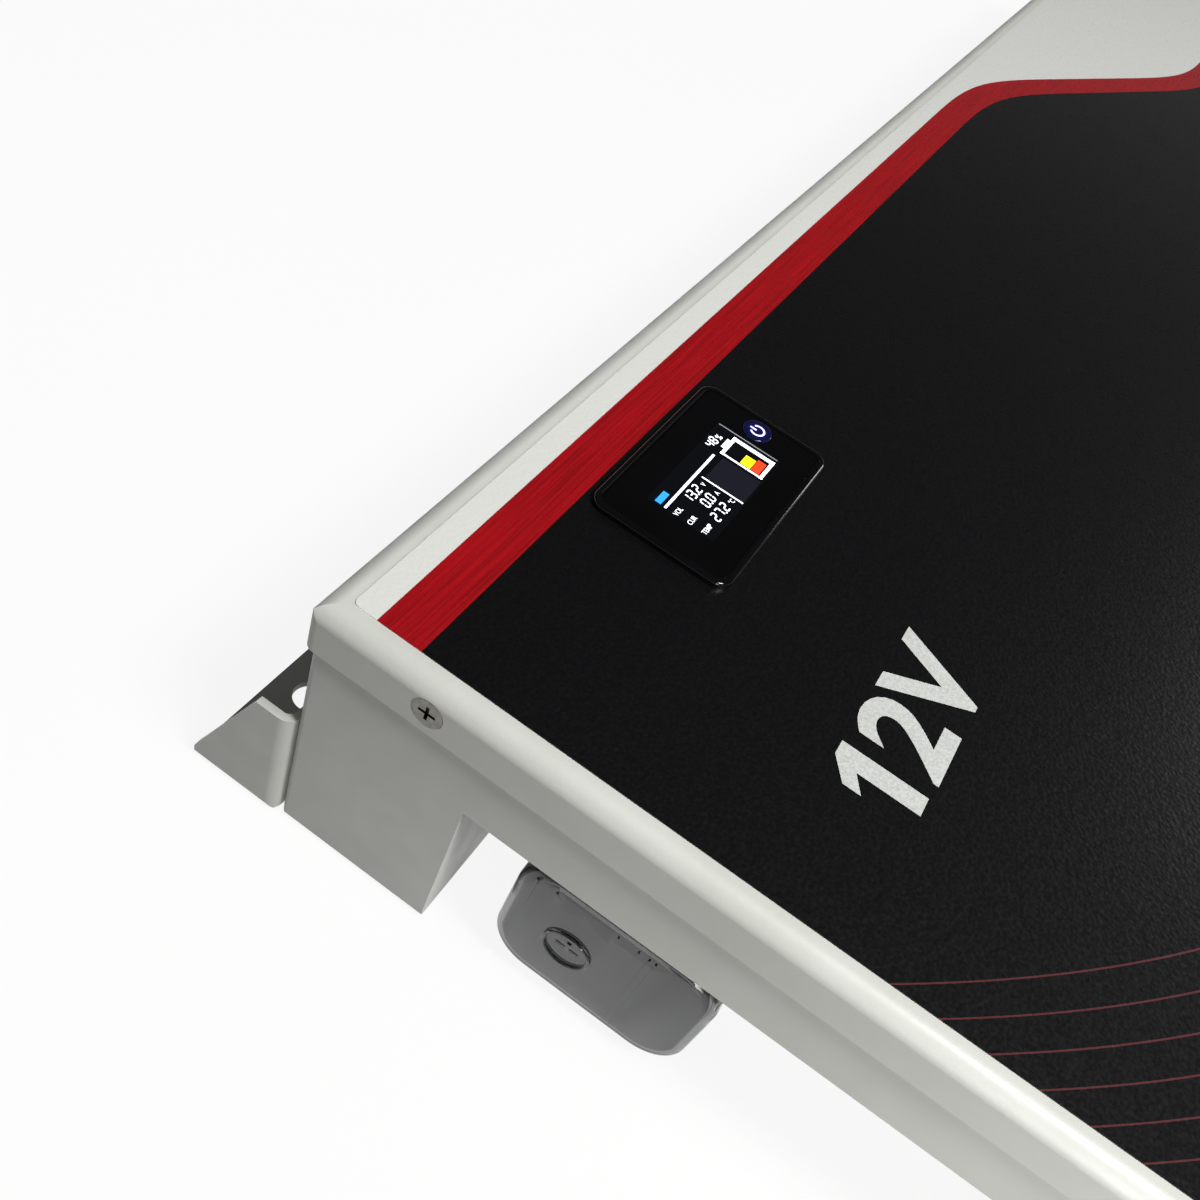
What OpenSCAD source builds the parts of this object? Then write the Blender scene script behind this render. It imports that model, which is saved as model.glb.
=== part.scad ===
// Slimline deep cycle battery lying on its back: +X along the length, +Y up as read, +Z out of the front.
// The terminal bay is at the -X end. The origin is at the middle of the back face.

/* [Case] */
// Overall length along X
case_l = 700; // [620:5:780]
// Width of the case along Y, without the feet
case_w = 300; // [240:5:360]
// Depth from the back face to the front face
case_h = 80; // [76:1:110]
// Sheet thickness of the tray
tray_t = 1.5; // [1:0.1:2.5]
// Sheet thickness of the lid
lid_t = 1.2; // [0.8:0.1:2]
// Clearance between the lid lip and the tray wall
lid_gap = 0.1; // [0.05:0.05:0.5]
// Height of the lip folded down round the lid
lip_h = 13; // [10:0.5:18]
// Outside fold radius of the lid and of the tray's long sides
fold_r = 4; // [3:0.5:6]
// Outside fold radius between the tray's end walls and its back
back_r = 2; // [1.8:0.1:4]
// Radius of the upright corners
corner_r = 2.5; // [2.2:0.1:6]
// Outside radius of the fold between the tray wall and its rim
rim_r = 2; // [1.8:0.1:2.4]
// Width of the rim folded inwards round the tray
rim_w = 9; // [7:0.5:14]
// Thickness of the sealing strip
gasket_t = 1.5; // [1:0.1:3]
// Width of the sealing strip
gasket_w = 4; // [3:0.5:6]

/* [Lid screws] */
// Thread diameter of the lid screws
screw_d = 4; // [3:0.5:5]
// Head diameter of the countersunk screws
screw_head_d = 7.4; // [6.5:0.1:9]
// Length of the lid screws
screw_len = 8; // [6:0.5:12]
// Distance of the screw line from the front face
screw_drop = 7.2; // [6:0.1:9]
// Distance of the end screws from the case corner
screw_end = 29.3; // [20:0.1:50]
// Spacing of the screws along the long sides
screw_pitch = 160; // [120:5:200]
// Clearance round a screw in its hole
screw_fit = 0.1; // [0.05:0.05:0.3]
// Diameter of the round clinch nuts behind the lid screws
nut_d = 5.6; // [5.2:0.1:5.8]
// Length of the clinch nuts
nut_t = 4; // [2.5:0.1:5]

/* [Terminal bay] */
// Width of the bay along Y
bay_w = 214; // [190:2:230]
// Height of the bay from the back face
bay_h = 49; // [46:1:56]
// Depth of the bay along X
bay_d = 32; // [30:0.5:36]
// Sheet thickness of the bay liner
bay_t = 1.5; // [1:0.1:2]

/* [Terminals] */
// Distance of the bolts from the middle line
term_y = 75; // [70:0.5:82]
// Height of the bolts over the back face
term_z = 24; // [22:0.5:27]
// Diameter of the brass posts
post_d = 18; // [14:0.5:20]
// Length of the post outside the insulator
post_l = 7.5; // [6:0.5:11]
// Diameter of the post neck in the insulator
neck_d = 12; // [11:0.5:13]
// Thread diameter of the terminal bolts
bolt_d = 8; // [6:1:8]
// Length of the terminal bolts under the head
bolt_len = 18; // [15:1:19]
// Width across flats of the bolt heads
bolt_af = 13; // [10:1:15]
// Height of the bolt heads
bolt_head = 5.3; // [4:0.1:6]
// Clearance round the bolt in the post
bolt_fit = 0.1; // [0.05:0.05:0.3]
// Outside diameter of the flat washers
washer_d = 16; // [14:0.5:18]
// Thickness of the flat washers
washer_t = 1.6; // [1:0.1:2]
// Outside diameter of the spring washers
spring_d = 12.7; // [12:0.1:14]
// Thickness of the spring washers
spring_t = 1.9; // [1.2:0.1:2.2]
// Thickness of the insulator plates in the bay
plate_t = 6; // [4:0.5:6.5]
// Diameter of the inner insulating washers
collar_d = 24; // [20:0.5:26]
// Thickness of the inner insulating washers
collar_t = 3; // [2:0.5:3.5]

/* [Terminal covers] */
// Width of a cover along Y
cover_w = 50; // [46:0.5:54]
// Height of a cover along Z
cover_h = 40; // [38:0.5:42]
// Distance of the cover middle from the middle line
cover_y = 67; // [64:0.5:72]
// Height of the cover middle over the back face
cover_z = 24.5; // [23:0.5:26]
// Corner radius of a cover
cover_r = 11; // [8:0.5:14]
// Wall thickness of a cover
cover_wall = 1.6; // [1.2:0.1:2.4]
// Distance of the cover face inside the case end
cover_set = 4; // [2:0.5:5]
// Clearance between a cover and the bay wall behind it
cover_gap = 0.3; // [0.3:0.05:1]
// Clearance between a cover and its insulator plate
cover_fit = 0.4; // [0.3:0.05:0.8]
// Diameter of the moulded ring in front of the bolt
ring_d = 12; // [8:0.5:14]
// Height of the moulded ring
ring_h = 0.8; // [0.4:0.1:1]
// Diameter of the cable opening
cable_d = 14; // [10:0.5:16]
// Height of the cable opening over the cover middle
cable_z = 5; // [0:0.5:9]

/* [Feet] */
// Length of a foot along X
foot_l = 60; // [50:1:90]
// Reach of a foot beyond the case side
foot_w = 24; // [20:0.5:34]
// Height of a foot
foot_h = 38; // [32:1:50]
// Sheet thickness of a foot
foot_t = 2; // [1.5:0.1:3]
// Fold radius of a foot
foot_r = 4; // [3.2:0.1:6]
// Foot fold between its ends and its base
foot_bend = 2.4; // [2.2:0.1:6]
// Foot height at its outer edge
foot_toe = 4; // [3:0.5:8]
// Reach of the gusset top beyond the case side
foot_top = 8.6; // [6:0.2:12]
// Diameter of the mounting holes
foot_hole_d = 9; // [6.5:0.5:11]
// Distance of the mounting holes from the case side
foot_hole_y = 14; // [12:0.5:20]
// Thread diameter of the foot screws
foot_screw_d = 5; // [4:0.5:6]
// Height of the foot screws over the back face
foot_screw_z = 22; // [18:1:28]
// Spacing of the two screws in a foot
foot_screw_pitch = 34; // [24:1:44]
// Length of the foot screws
foot_screw_len = 9; // [7:0.5:9.5]

/* [Label] */
// Thickness of the printed film
label_t = 0.25; // [0.1:0.05:0.5]
// Margin of bare lid round the film
label_edge = 5.7; // [4.5:0.1:12]

/* [Display] */
// Width of the display frame along X
disp_w = 59; // [54:0.5:70]
// Height of the display frame along Y
disp_h = 36.4; // [32:0.2:46]
// Distance of the display middle from the -X end
disp_x = 92.7; // [80:0.1:140]
// Distance of the display middle from the +Y side
disp_y = 42.2; // [34:0.1:60]
// Corner radius of the display frame
disp_r = 4; // [2.5:0.1:6]
// Height of the frame over the film
disp_up = 1.8; // [1.2:0.1:3]
// Reach of the frame flange beyond its body
disp_edge = 1.2; // [1:0.1:1.6]
// Depth of the display body under the lid
disp_deep = 9; // [7:0.5:12]
// Wall thickness of the display body
disp_wall = 1.5; // [1.2:0.1:2.5]
// Width of the window along X
win_w = 40; // [36:0.5:41]
// Height of the window along Y
win_h = 26; // [18:0.5:28]
// Thickness of the window
win_t = 1; // [0.8:0.1:1.2]
// Width of the screen along X
lcd_w = 37; // [35:0.5:38]
// Height of the screen along Y
lcd_h = 18.5; // [16:0.5:24]
// Diameter of the power button
button_d = 7.6; // [6:0.1:8]
// Distance of the button from the display middle
button_x = 23.2; // [22.5:0.1:24]
// Clearance round the button
button_fit = 0.3; // [0.3:0.05:0.5]
// Travel of the button
button_go = 0.6; // [0.4:0.1:0.8]
// Width of the switch under the button
switch_w = 5.2; // [4.5:0.1:6]

/* [Cells] */
// Length of a cell along X
cell_l = 160; // [140:1:161]
// Height of a cell along Y
cell_w = 118; // [90:1:119]
// Thickness of a cell along Z
cell_t = 50; // [40:1:50]
// Gap between cells, filled by a separator
cell_gap = 1; // [0.5:0.1:1.2]
// Distance of the first cell from the -X end
cell_in = 46; // [45:0.5:50]
// Width of the channel between the two rows
lane_w = 44; // [42:1:46]
// Thickness of the pad under the cells
pad_t = 2; // [1:0.5:3]
// Diameter of a cell pole
pole_d = 16; // [12:0.5:18]
// Height of a cell pole
pole_h = 3; // [2:0.5:3.5]
// Thread diameter of the cell studs
stud_d = 6; // [4:0.5:6]
// Spacing of the two poles of a cell
pole_gap = 110; // [90:1:116]
// Thickness of the busbars
bar_t = 2; // [1.5:0.1:3]
// Height of the busbar plates along Z
bar_h = 28; // [24:1:32]
// Width of a busbar beyond its poles
bar_w = 24; // [20:1:28]

/* [Electronics] */
// Length of the battery management board along X
bms_l = 180; // [140:2:200]
// Width of the battery management board along Y
bms_w = 100; // [80:2:104]
// Distance of the board from the -X end
bms_x = 165; // [158:1:180]
// Thickness of the circuit boards
board_t = 1.6; // [1:0.1:2]
// Thickness of the insulating sheet over the cells
sheet_t = 1.5; // [1:0.1:2]
// Height of the board stand-offs
post_h = 4; // [3.5:0.1:5]
// Height of the power transistors
fet_h = 2.4; // [2:0.1:3]
// Thickness of the heat spreader
sink_t = 5; // [3:0.5:6]
// Width of the copper straps
strap_w = 20; // [16:1:22]
// Width of the upright lugs on the straps
lug_w = 9; // [6:1:10]
// Diameter of the sensing wires
wire_d = 1.6; // [1.2:0.1:2]

/* [Hidden] */
$fn = 48;
eps = 0.01;
hx = case_l / 2;
hy = case_w / 2;
skin = lid_t + lid_gap;
tray_x = hx - skin;
tray_y = hy - skin;
tray_top = case_h - lid_t - gasket_t;
in_x = tray_x - tray_t;
in_y = tray_y - tray_t;
lip_z = case_h - lip_h;
screw_z = case_h - screw_drop;
side_x = [-(hx - screw_end), -screw_pitch, 0, screw_pitch, hx - screw_end];
end_y = [-(hy - screw_end), hy - screw_end];
head_h = (screw_head_d - screw_d) / 2;
hex_k = 1 / cos(30);
bay_x = -hx + bay_d;
wall_in = bay_x + bay_t;
plate_x = bay_x - plate_t;
post_x = plate_x - post_l;
head_x = post_x - washer_t - spring_t;
collar_x = wall_in + collar_t;
strap_x = collar_x + bar_t;
cover_x = -hx + cover_set;
cover_len = bay_x - cover_gap - cover_x;
cable_cz = cover_z + cable_z;
film_z = case_h + label_t;
frame_z = film_z + disp_up;
disp_cx = -hx + disp_x;
disp_cy = hy - disp_y;
disp_low = case_h - lid_t - disp_deep;
body_w = disp_w - 2 * disp_edge;
body_h = disp_h - 2 * disp_edge;
cut_fit = 0.3;
win_x = disp_cx - 4.5;
win_low = frame_z - 0.3 - win_t;
btn_cx = disp_cx + button_x;
switch_top = win_low - 3.6;
cell_x0 = -hx + cell_in;
pitch = cell_l + cell_gap;
cell_z0 = tray_t + pad_t;
cell_z1 = cell_z0 + cell_t;
cell_end = cell_x0 + 4 * cell_l + 3 * cell_gap;
lane = lane_w / 2;
row_y = lane + cell_w;
pole_z = cell_z0 + cell_t / 2;
bar_y = lane - pole_h;
bar_z0 = pole_z - bar_h / 2;
cell_cx = [for (i = [0:3]) cell_x0 + cell_l / 2 + i * pitch];
pole_x = [for (i = [0:3], s = [-1, 1]) cell_cx[i] + s * pole_gap / 2];
sheet_z = cell_z1 + sheet_t;
strap_z = sheet_z + 0.5;
bms_x0 = -hx + bms_x;
bms_z = sheet_z + post_h;
fet_z = bms_z + board_t;
sink_z = fet_z + fet_h;
foot_cx = hx - foot_l / 2;
foot_in = tray_y;

// Flat rectangle with rounded corners, centred
module rrect(x, y, r) {
    square([x - 2 * r, y], center = true);
    square([x, y - 2 * r], center = true);
    for (sx = [-1, 1], sy = [-1, 1]) {
        translate([sx * (x / 2 - r), sy * (y / 2 - r)]) circle(r);
    }
}

// Solid block with folded edges, standing on z = 0; rp is the upright corner radius, re the edge radius
module rbox(x, y, z, rp, re, rs = 0) {
    side_r = rs > 0 ? rs : re;
    intersection() {
        linear_extrude(z) rrect(x, y, rp);
        translate([0, y / 2, z / 2]) rotate([90, 0, 0]) linear_extrude(y) rrect(x, z, re);
        translate([-x / 2, 0, z / 2]) rotate([90, 0, 90]) linear_extrude(x) rrect(y, z, side_r);
    }
}

// Block between two corners
module block(a, b) {
    translate(a) cube(b - a);
}

// Cylinder along +X from point p
module rod_x(p, r, l) {
    translate(p) rotate([0, 90, 0]) cylinder(r = r, h = l);
}

// Cylinder along Y, from point p towards side s
module rod_y(p, r, l, s) {
    translate(p) rotate([-90 * s, 0, 0]) cylinder(r = r, h = l);
}

// Hexagonal prism along +X
module hex_x(p, af, l) {
    translate(p) rotate([0, 90, 0]) cylinder(d = af * hex_k, h = l, $fn = 6);
}

// Hexagonal prism along Y towards side s
module hex_y(p, af, l, s) {
    translate(p) rotate([-90 * s, 0, 0]) cylinder(d = af * hex_k, h = l, $fn = 6);
}

// Puts its children at every lid screw; the child's +Z points out of the case
module at_lid_screws() {
    for (x = side_x, s = [-1, 1]) {
        translate([x, s * hy, screw_z]) rotate([-90 * s, 0, 0]) children();
    }
    for (y = end_y, s = [-1, 1]) {
        translate([s * hx, y, screw_z]) rotate([0, 90 * s, 0]) children();
    }
}

// Puts its children at every foot screw; the child's +Z points out of the case
module at_foot_screws() {
    for (sx = [-1, 1], s = [-1, 1], k = [-1, 1]) {
        translate([sx * foot_cx + k * foot_screw_pitch / 2, s * tray_y, foot_screw_z])
            rotate([-90 * s, 0, 0]) children();
    }
}

// Space inside the tray under its rim
module tray_inside() {
    over = 2 * fold_r;
    high = tray_top - 2 * tray_t + over;
    intersection() {
        translate([0, 0, tray_t])
            rbox(2 * in_x, 2 * in_y, high, corner_r / 3, back_r - tray_t, fold_r - tray_t);
        translate([0, 0, tray_t - over]) rbox(2 * in_x, 2 * in_y, high, corner_r / 3, rim_r - tray_t);
    }
}

module case_tray() {
    over = 2 * fold_r;
    upright_r = corner_r - skin / 2;
    color("gainsboro") difference() {
        intersection() {
            rbox(2 * tray_x, 2 * tray_y, tray_top + over, upright_r, back_r, fold_r);
            translate([0, 0, -over]) rbox(2 * tray_x, 2 * tray_y, tray_top + over, upright_r, rim_r);
        }
        tray_inside();
        block([-tray_x + rim_w, -tray_y + rim_w, case_h / 2], [tray_x - rim_w, tray_y - rim_w, case_h]);
        block([-hx, -bay_w / 2, -1], [bay_x, bay_w / 2, bay_h]);
        at_lid_screws() translate([0, 0, -10]) cylinder(r = screw_head_d / 2 - lid_t + screw_fit, h = 12);
        at_foot_screws() translate([0, 0, -5]) cylinder(r = foot_screw_d / 2 + screw_fit, h = 10);
    }
}

module bay_liner() {
    color("gainsboro") difference() {
        intersection() {
            block([-in_x, -bay_w / 2 - bay_t, tray_t], [wall_in, bay_w / 2 + bay_t, bay_h + bay_t]);
            tray_inside();
        }
        block([-hx, -bay_w / 2, -1], [bay_x, bay_w / 2, bay_h]);
        for (s = [-1, 1]) {
            rod_x([bay_x - 1, s * term_y, term_z], neck_d / 2 + 2 + screw_fit, bay_t + 2);
        }
    }
}

module front_lid() {
    deep = lip_h + 3 * fold_r;
    color("whitesmoke") difference() {
        translate([0, 0, case_h - deep]) rbox(2 * hx, 2 * hy, deep, corner_r, fold_r);
        translate([0, 0, case_h - lid_t - deep])
            rbox(2 * (hx - lid_t), 2 * (hy - lid_t), deep, corner_r - lid_t, fold_r - lid_t);
        block([-hx - 1, -hy - 1, case_h - deep - 1], [hx + 1, hy + 1, lip_z]);
        translate([disp_cx, disp_cy, case_h - lid_t - 1])
            linear_extrude(lid_t + 2) rrect(body_w + 2 * cut_fit, body_h + 2 * cut_fit, disp_r);
        at_lid_screws() translate([0, 0, -head_h]) {
            cylinder(r1 = screw_d / 2 + screw_fit, r2 = screw_head_d / 2 + screw_fit, h = head_h);
            translate([0, 0, head_h - eps]) cylinder(r = screw_head_d / 2 + screw_fit, h = 1);
        }
    }
}

module lid_gasket() {
    edge = tray_x - fold_r;
    edge_y = tray_y - fold_r;
    color("dimgray") translate([0, 0, tray_top]) linear_extrude(gasket_t) difference() {
        square([2 * edge, 2 * edge_y], center = true);
        square([2 * (edge - gasket_w), 2 * (edge_y - gasket_w)], center = true);
    }
}

module lid_screws() {
    color("silver") at_lid_screws() difference() {
        union() {
            translate([0, 0, -head_h]) cylinder(r1 = screw_d / 2, r2 = screw_head_d / 2, h = head_h);
            translate([0, 0, -screw_len]) cylinder(r = screw_d / 2, h = screw_len - head_h + eps);
        }
        for (a = [0, 90]) {
            rotate(a) translate([-screw_d * 0.5, -screw_d * 0.1, -head_h * 0.7])
                cube([screw_d, screw_d * 0.2, head_h]);
        }
    }
}

module lid_nuts() {
    color("silver") at_lid_screws() translate([0, 0, -skin - tray_t - nut_t]) difference() {
        cylinder(d = nut_d, h = nut_t);
        translate([0, 0, -1]) cylinder(r = screw_d / 2 + screw_fit, h = nut_t + 2);
    }
}

module front_label() {
    color("black") translate([0, 0, case_h]) linear_extrude(label_t) difference() {
        rrect(2 * (hx - label_edge), 2 * (hy - label_edge), 1.5);
        translate([disp_cx, disp_cy]) rrect(body_w + 2 * cut_fit, body_h + 2 * cut_fit, disp_r);
    }
}

// One folded foot on the +Y side at the +X end
module foot() {
    high = foot_h + 10;
    wide = foot_w + 20;
    mid_y = foot_in + wide / 2;
    difference() {
        translate([foot_cx, mid_y, 0]) rbox(foot_l, wide, high, foot_r, foot_bend, foot_r);
        translate([foot_cx, mid_y + foot_t, foot_t])
            rbox(foot_l - 2 * foot_t, wide, high, foot_r - foot_t, foot_bend - foot_t, foot_r - foot_t);
        translate([foot_cx - foot_l, 0, 0]) rotate([90, 0, 90]) linear_extrude(2 * foot_l) polygon([
            [hy + foot_w, -1], [hy + foot_w, foot_toe], [hy + foot_top, foot_h], [foot_in - 1, foot_h],
            [foot_in - 1, high + 1], [hy + 3 * foot_w, high + 1], [hy + 3 * foot_w, -1]]);
        translate([foot_cx, hy + foot_hole_y, -1]) cylinder(d = foot_hole_d, h = foot_t + 2);
        for (k = [-1, 1]) {
            rod_y([foot_cx + k * foot_screw_pitch / 2, foot_in - 1, foot_screw_z],
                foot_screw_d / 2 + screw_fit, foot_t + 2, 1);
        }
    }
}

module foot_top_left() {
    color("darkgray") mirror([1, 0, 0]) foot();
}

module foot_top_right() {
    color("darkgray") foot();
}

module foot_bottom_left() {
    color("darkgray") mirror([1, 0, 0]) mirror([0, 1, 0]) foot();
}

module foot_bottom_right() {
    color("darkgray") mirror([0, 1, 0]) foot();
}

module foot_screws() {
    cap = foot_screw_d * 0.54;
    color("silver") at_foot_screws() difference() {
        union() {
            translate([0, 0, foot_t]) cylinder(r1 = foot_screw_d * 0.9, r2 = foot_screw_d * 0.7, h = cap);
            translate([0, 0, foot_t - foot_screw_len]) cylinder(d = foot_screw_d, h = foot_screw_len + eps);
        }
        translate([0, 0, foot_t + cap * 0.4]) cylinder(d = foot_screw_d * 0.7, h = cap, $fn = 6);
    }
}

module foot_nuts() {
    color("silver") at_foot_screws() translate([0, 0, -tray_t - foot_screw_d * 0.8]) difference() {
        cylinder(d = foot_screw_d * 1.6 * hex_k, h = foot_screw_d * 0.8, $fn = 6);
        translate([0, 0, -1]) cylinder(r = foot_screw_d / 2 + screw_fit, h = foot_screw_d * 0.8 + 2);
    }
}

module display_frame() {
    color("black") difference() {
        union() {
            translate([disp_cx, disp_cy, film_z]) linear_extrude(disp_up) rrect(disp_w, disp_h, disp_r);
            translate([disp_cx, disp_cy, disp_low])
                linear_extrude(film_z - disp_low + eps) rrect(body_w, body_h, disp_r - 1);
        }
        translate([disp_cx, disp_cy, disp_low - 1]) linear_extrude(win_low - 1.2 - disp_low + 1)
            rrect(body_w - 2 * disp_wall, body_h - 2 * disp_wall, 1);
        translate([win_x, disp_cy, win_low]) linear_extrude(5) rrect(win_w, win_h, 1);
        translate([win_x, disp_cy, win_low - 5]) linear_extrude(6) rrect(lcd_w, lcd_h, 0.5);
        translate([btn_cx, disp_cy, disp_low]) cylinder(r = button_d / 2 + button_fit, h = 20);
    }
}

module display_window() {
    color("dimgray") translate([win_x, disp_cy, win_low])
        linear_extrude(win_t) rrect(win_w - 0.2, win_h - 0.2, 0.9);
}

module lcd_panel() {
    color("darkslateblue") translate([win_x, disp_cy, disp_low])
        linear_extrude(win_low - disp_low) rrect(lcd_w - 0.4, lcd_h - 0.4, 0.3);
}

module display_board() {
    color("darkgreen") difference() {
        translate([disp_cx, disp_cy, disp_low - board_t]) {
            linear_extrude(board_t) rrect(body_w, body_h, disp_r - 1);
        }
        for (sx = [-1, 1], sy = [-1, 1]) {
            translate([disp_cx + sx * (body_w / 2 - 4), disp_cy + sy * (body_h / 2 - 4), disp_low - 3])
                cylinder(d = 2, h = 4);
        }
    }
}

module power_button() {
    color("midnightblue") translate([btn_cx, disp_cy, 0]) {
        translate([0, 0, win_low - 1.6]) cylinder(d = button_d, h = frame_z - win_low + 1.8);
        translate([0, 0, switch_top + button_go + 0.3])
            cylinder(d = 3.4, h = win_low - 1.6 - switch_top - button_go - 0.3 + eps);
    }
}

module button_switch() {
    color("silver") translate([btn_cx, disp_cy, disp_low]) {
        translate([-switch_w / 2, -switch_w / 2, 0]) cube([switch_w, switch_w, switch_top - disp_low - 1]);
        cylinder(d = 3, h = switch_top - disp_low);
    }
}

// Flat ribbon from the display board to the battery management board
module display_cable() {
    run_x = disp_cx + 14;
    end_y = bms_w / 2 - 6;
    end_x = bms_x0 + 10;
    flat_z = disp_low - board_t - 1;
    color("slategray") {
        block([run_x - 5, disp_cy - 8, flat_z - eps], [run_x + 5, disp_cy + 8, disp_low - board_t]);
        block([run_x - 5, end_y - 5, flat_z - 1], [run_x + 5, disp_cy + 8, flat_z]);
        block([run_x - 5, end_y - 5, flat_z - 1], [end_x + 5, end_y + 5, flat_z]);
        block([end_x + 4, end_y - 5, fet_z + 3], [end_x + 5, end_y + 5, flat_z - eps]);
        block([end_x + 1, end_y - 6, fet_z], [end_x + 8, end_y + 6, fet_z + 3 + eps]);
    }
}

// Insulator plate with a neck through the bay wall, on side s
module plate(s) {
    pw = cover_w - 2 * (cover_wall + cover_fit);
    ph = cover_h - 2 * (cover_wall + cover_fit);
    difference() {
        union() {
            translate([plate_x, s * cover_y, cover_z]) rotate([90, 0, 90])
                linear_extrude(plate_t) rrect(pw, ph, cover_r - cover_wall - cover_fit);
            rod_x([plate_x, s * term_y, term_z], neck_d / 2 + 2, plate_t + bay_t);
        }
        rod_x([plate_x - 1, s * term_y, term_z], neck_d / 2 + screw_fit, plate_t + bay_t + 2);
    }
}

module positive_plate() {
    color("firebrick") plate(1);
}

module negative_plate() {
    color("dimgray") plate(-1);
}

module inner_collars() {
    color("ivory") for (s = [-1, 1]) {
        difference() {
            rod_x([wall_in, s * term_y, term_z], collar_d / 2, collar_t);
            rod_x([wall_in - 1, s * term_y, term_z], neck_d / 2 + screw_fit, collar_t + 2);
        }
    }
}

// Brass post with a threaded hole outside and a stud inside
module brass_post(s) {
    difference() {
        union() {
            rod_x([post_x, s * term_y, term_z], post_d / 2, post_l);
            rod_x([plate_x - eps, s * term_y, term_z], neck_d / 2, collar_x - plate_x + eps);
            rod_x([collar_x - eps, s * term_y, term_z], bolt_d / 2 - 1, 7);
        }
        rod_x([post_x - 1, s * term_y, term_z], bolt_d / 2 + bolt_fit, bolt_len + 1);
    }
}

module positive_post() {
    color("goldenrod") brass_post(1);
}

module negative_post() {
    color("goldenrod") brass_post(-1);
}

// Flat washer on the post and spring washer under the bolt head
module washers(s) {
    difference() {
        union() {
            rod_x([post_x - washer_t, s * term_y, term_z], washer_d / 2, washer_t);
            rod_x([head_x, s * term_y, term_z], spring_d / 2, spring_t + eps);
        }
        rod_x([head_x - 1, s * term_y, term_z], bolt_d / 2 + 2 * bolt_fit, washer_t + spring_t + 2);
    }
}

module positive_washers() {
    color("silver") washers(1);
}

module negative_washers() {
    color("silver") washers(-1);
}

// Hexagon head bolt with a chamfered head
module bolt(s) {
    intersection() {
        hex_x([head_x - bolt_head, s * term_y, term_z], bolt_af, bolt_head);
        translate([head_x - bolt_head, s * term_y, term_z]) rotate([0, 90, 0])
            cylinder(r1 = bolt_af / 2 * 0.95, r2 = bolt_af / 2 * 0.95 + bolt_head * 1.7, h = bolt_head);
    }
    rod_x([head_x - eps, s * term_y, term_z], bolt_d / 2, bolt_len - 1);
}

module positive_bolt() {
    color("silver") bolt(1);
}

module negative_bolt() {
    color("silver") bolt(-1);
}

// Clear cover open towards the bay wall, with a cable opening facing the middle line
module cover(s) {
    difference() {
        translate([cover_x, s * cover_y, cover_z]) rotate([90, 0, 90]) linear_extrude(cover_len)
            rrect(cover_w, cover_h, cover_r);
        translate([cover_x + cover_wall, s * cover_y, cover_z]) rotate([90, 0, 90]) linear_extrude(cover_len)
            rrect(cover_w - 2 * cover_wall, cover_h - 2 * cover_wall, cover_r - cover_wall);
        rod_y([cover_x + 3 + cable_d / 2, s * (cover_y - cover_w / 2 + cover_r), cable_cz],
            cable_d / 2, 2 * cover_r, -s);
    }
    difference() {
        rod_x([cover_x - ring_h, s * term_y, term_z], ring_d / 2, ring_h + eps);
        rod_x([cover_x - 2 * ring_h, s * term_y, term_z], ring_d / 2 - ring_h, 2 * ring_h - eps);
    }
}

module positive_cover() {
    color("lightblue", 0.4) cover(1);
}

module negative_cover() {
    color("lightblue", 0.4) cover(-1);
}

// Thin nut that holds a strap on the inner end of a post
module strap_nut(s) {
    difference() {
        hex_x([strap_x, s * term_y, term_z], bolt_af - 2, 3);
        rod_x([strap_x - 1, s * term_y, term_z], bolt_d / 2 - 1 + bolt_fit, 6);
    }
}

module positive_nut() {
    color("silver") strap_nut(1);
}

module negative_nut() {
    color("silver") strap_nut(-1);
}

// Upright end of a strap on the inner end of a post
module strap_drop(s) {
    difference() {
        block([collar_x, s * term_y - strap_w / 2, term_z - strap_w / 2],
            [strap_x, s * term_y + strap_w / 2, strap_z + bar_t]);
        rod_x([collar_x - 1, s * term_y, term_z], bolt_d / 2 - 1 + bolt_fit, bar_t + 2);
    }
}

module positive_strap() {
    end_x = pole_x[7] + strap_w / 2;
    color("peru") {
        strap_drop(1);
        block([collar_x, term_y - strap_w / 2, strap_z], [end_x, term_y + strap_w / 2, strap_z + bar_t]);
        block([end_x - strap_w, bar_y - bar_t - lug_w, strap_z], [end_x, term_y, strap_z + bar_t]);
        block([end_x - strap_w, bar_y - bar_t - lug_w, bar_z0 + bar_t],
            [end_x - strap_w + bar_t, bar_y - bar_t, strap_z + eps]);
    }
}

module negative_strap() {
    end_x = bms_x0 + strap_w + 12;
    color("peru") {
        strap_drop(-1);
        block([collar_x, -term_y - strap_w / 2, strap_z], [end_x, -term_y + strap_w / 2, strap_z + bar_t]);
        block([end_x - strap_w, -term_y, strap_z], [end_x, -bms_w / 2 + 12, strap_z + bar_t]);
        block([end_x - 10, -bms_w / 2 + 2, strap_z], [end_x, -bms_w / 2 + 12, bms_z]);
    }
}

// Strap from the negative busbar up to the battery management board
module bms_strap() {
    x0 = pole_x[0] - strap_w / 2;
    color("peru") {
        block([x0, -8, strap_z], [bms_x0 + 10, 8, strap_z + bar_t]);
        block([bms_x0, -8, strap_z], [bms_x0 + 10, 8, bms_z]);
        block([x0, bar_y - bar_t - lug_w, bar_z0 + bar_t], [x0 + bar_t, bar_y - bar_t, strap_z + eps]);
        block([x0, -8, strap_z], [x0 + strap_w, bar_y - bar_t, strap_z + bar_t]);
    }
}

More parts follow.
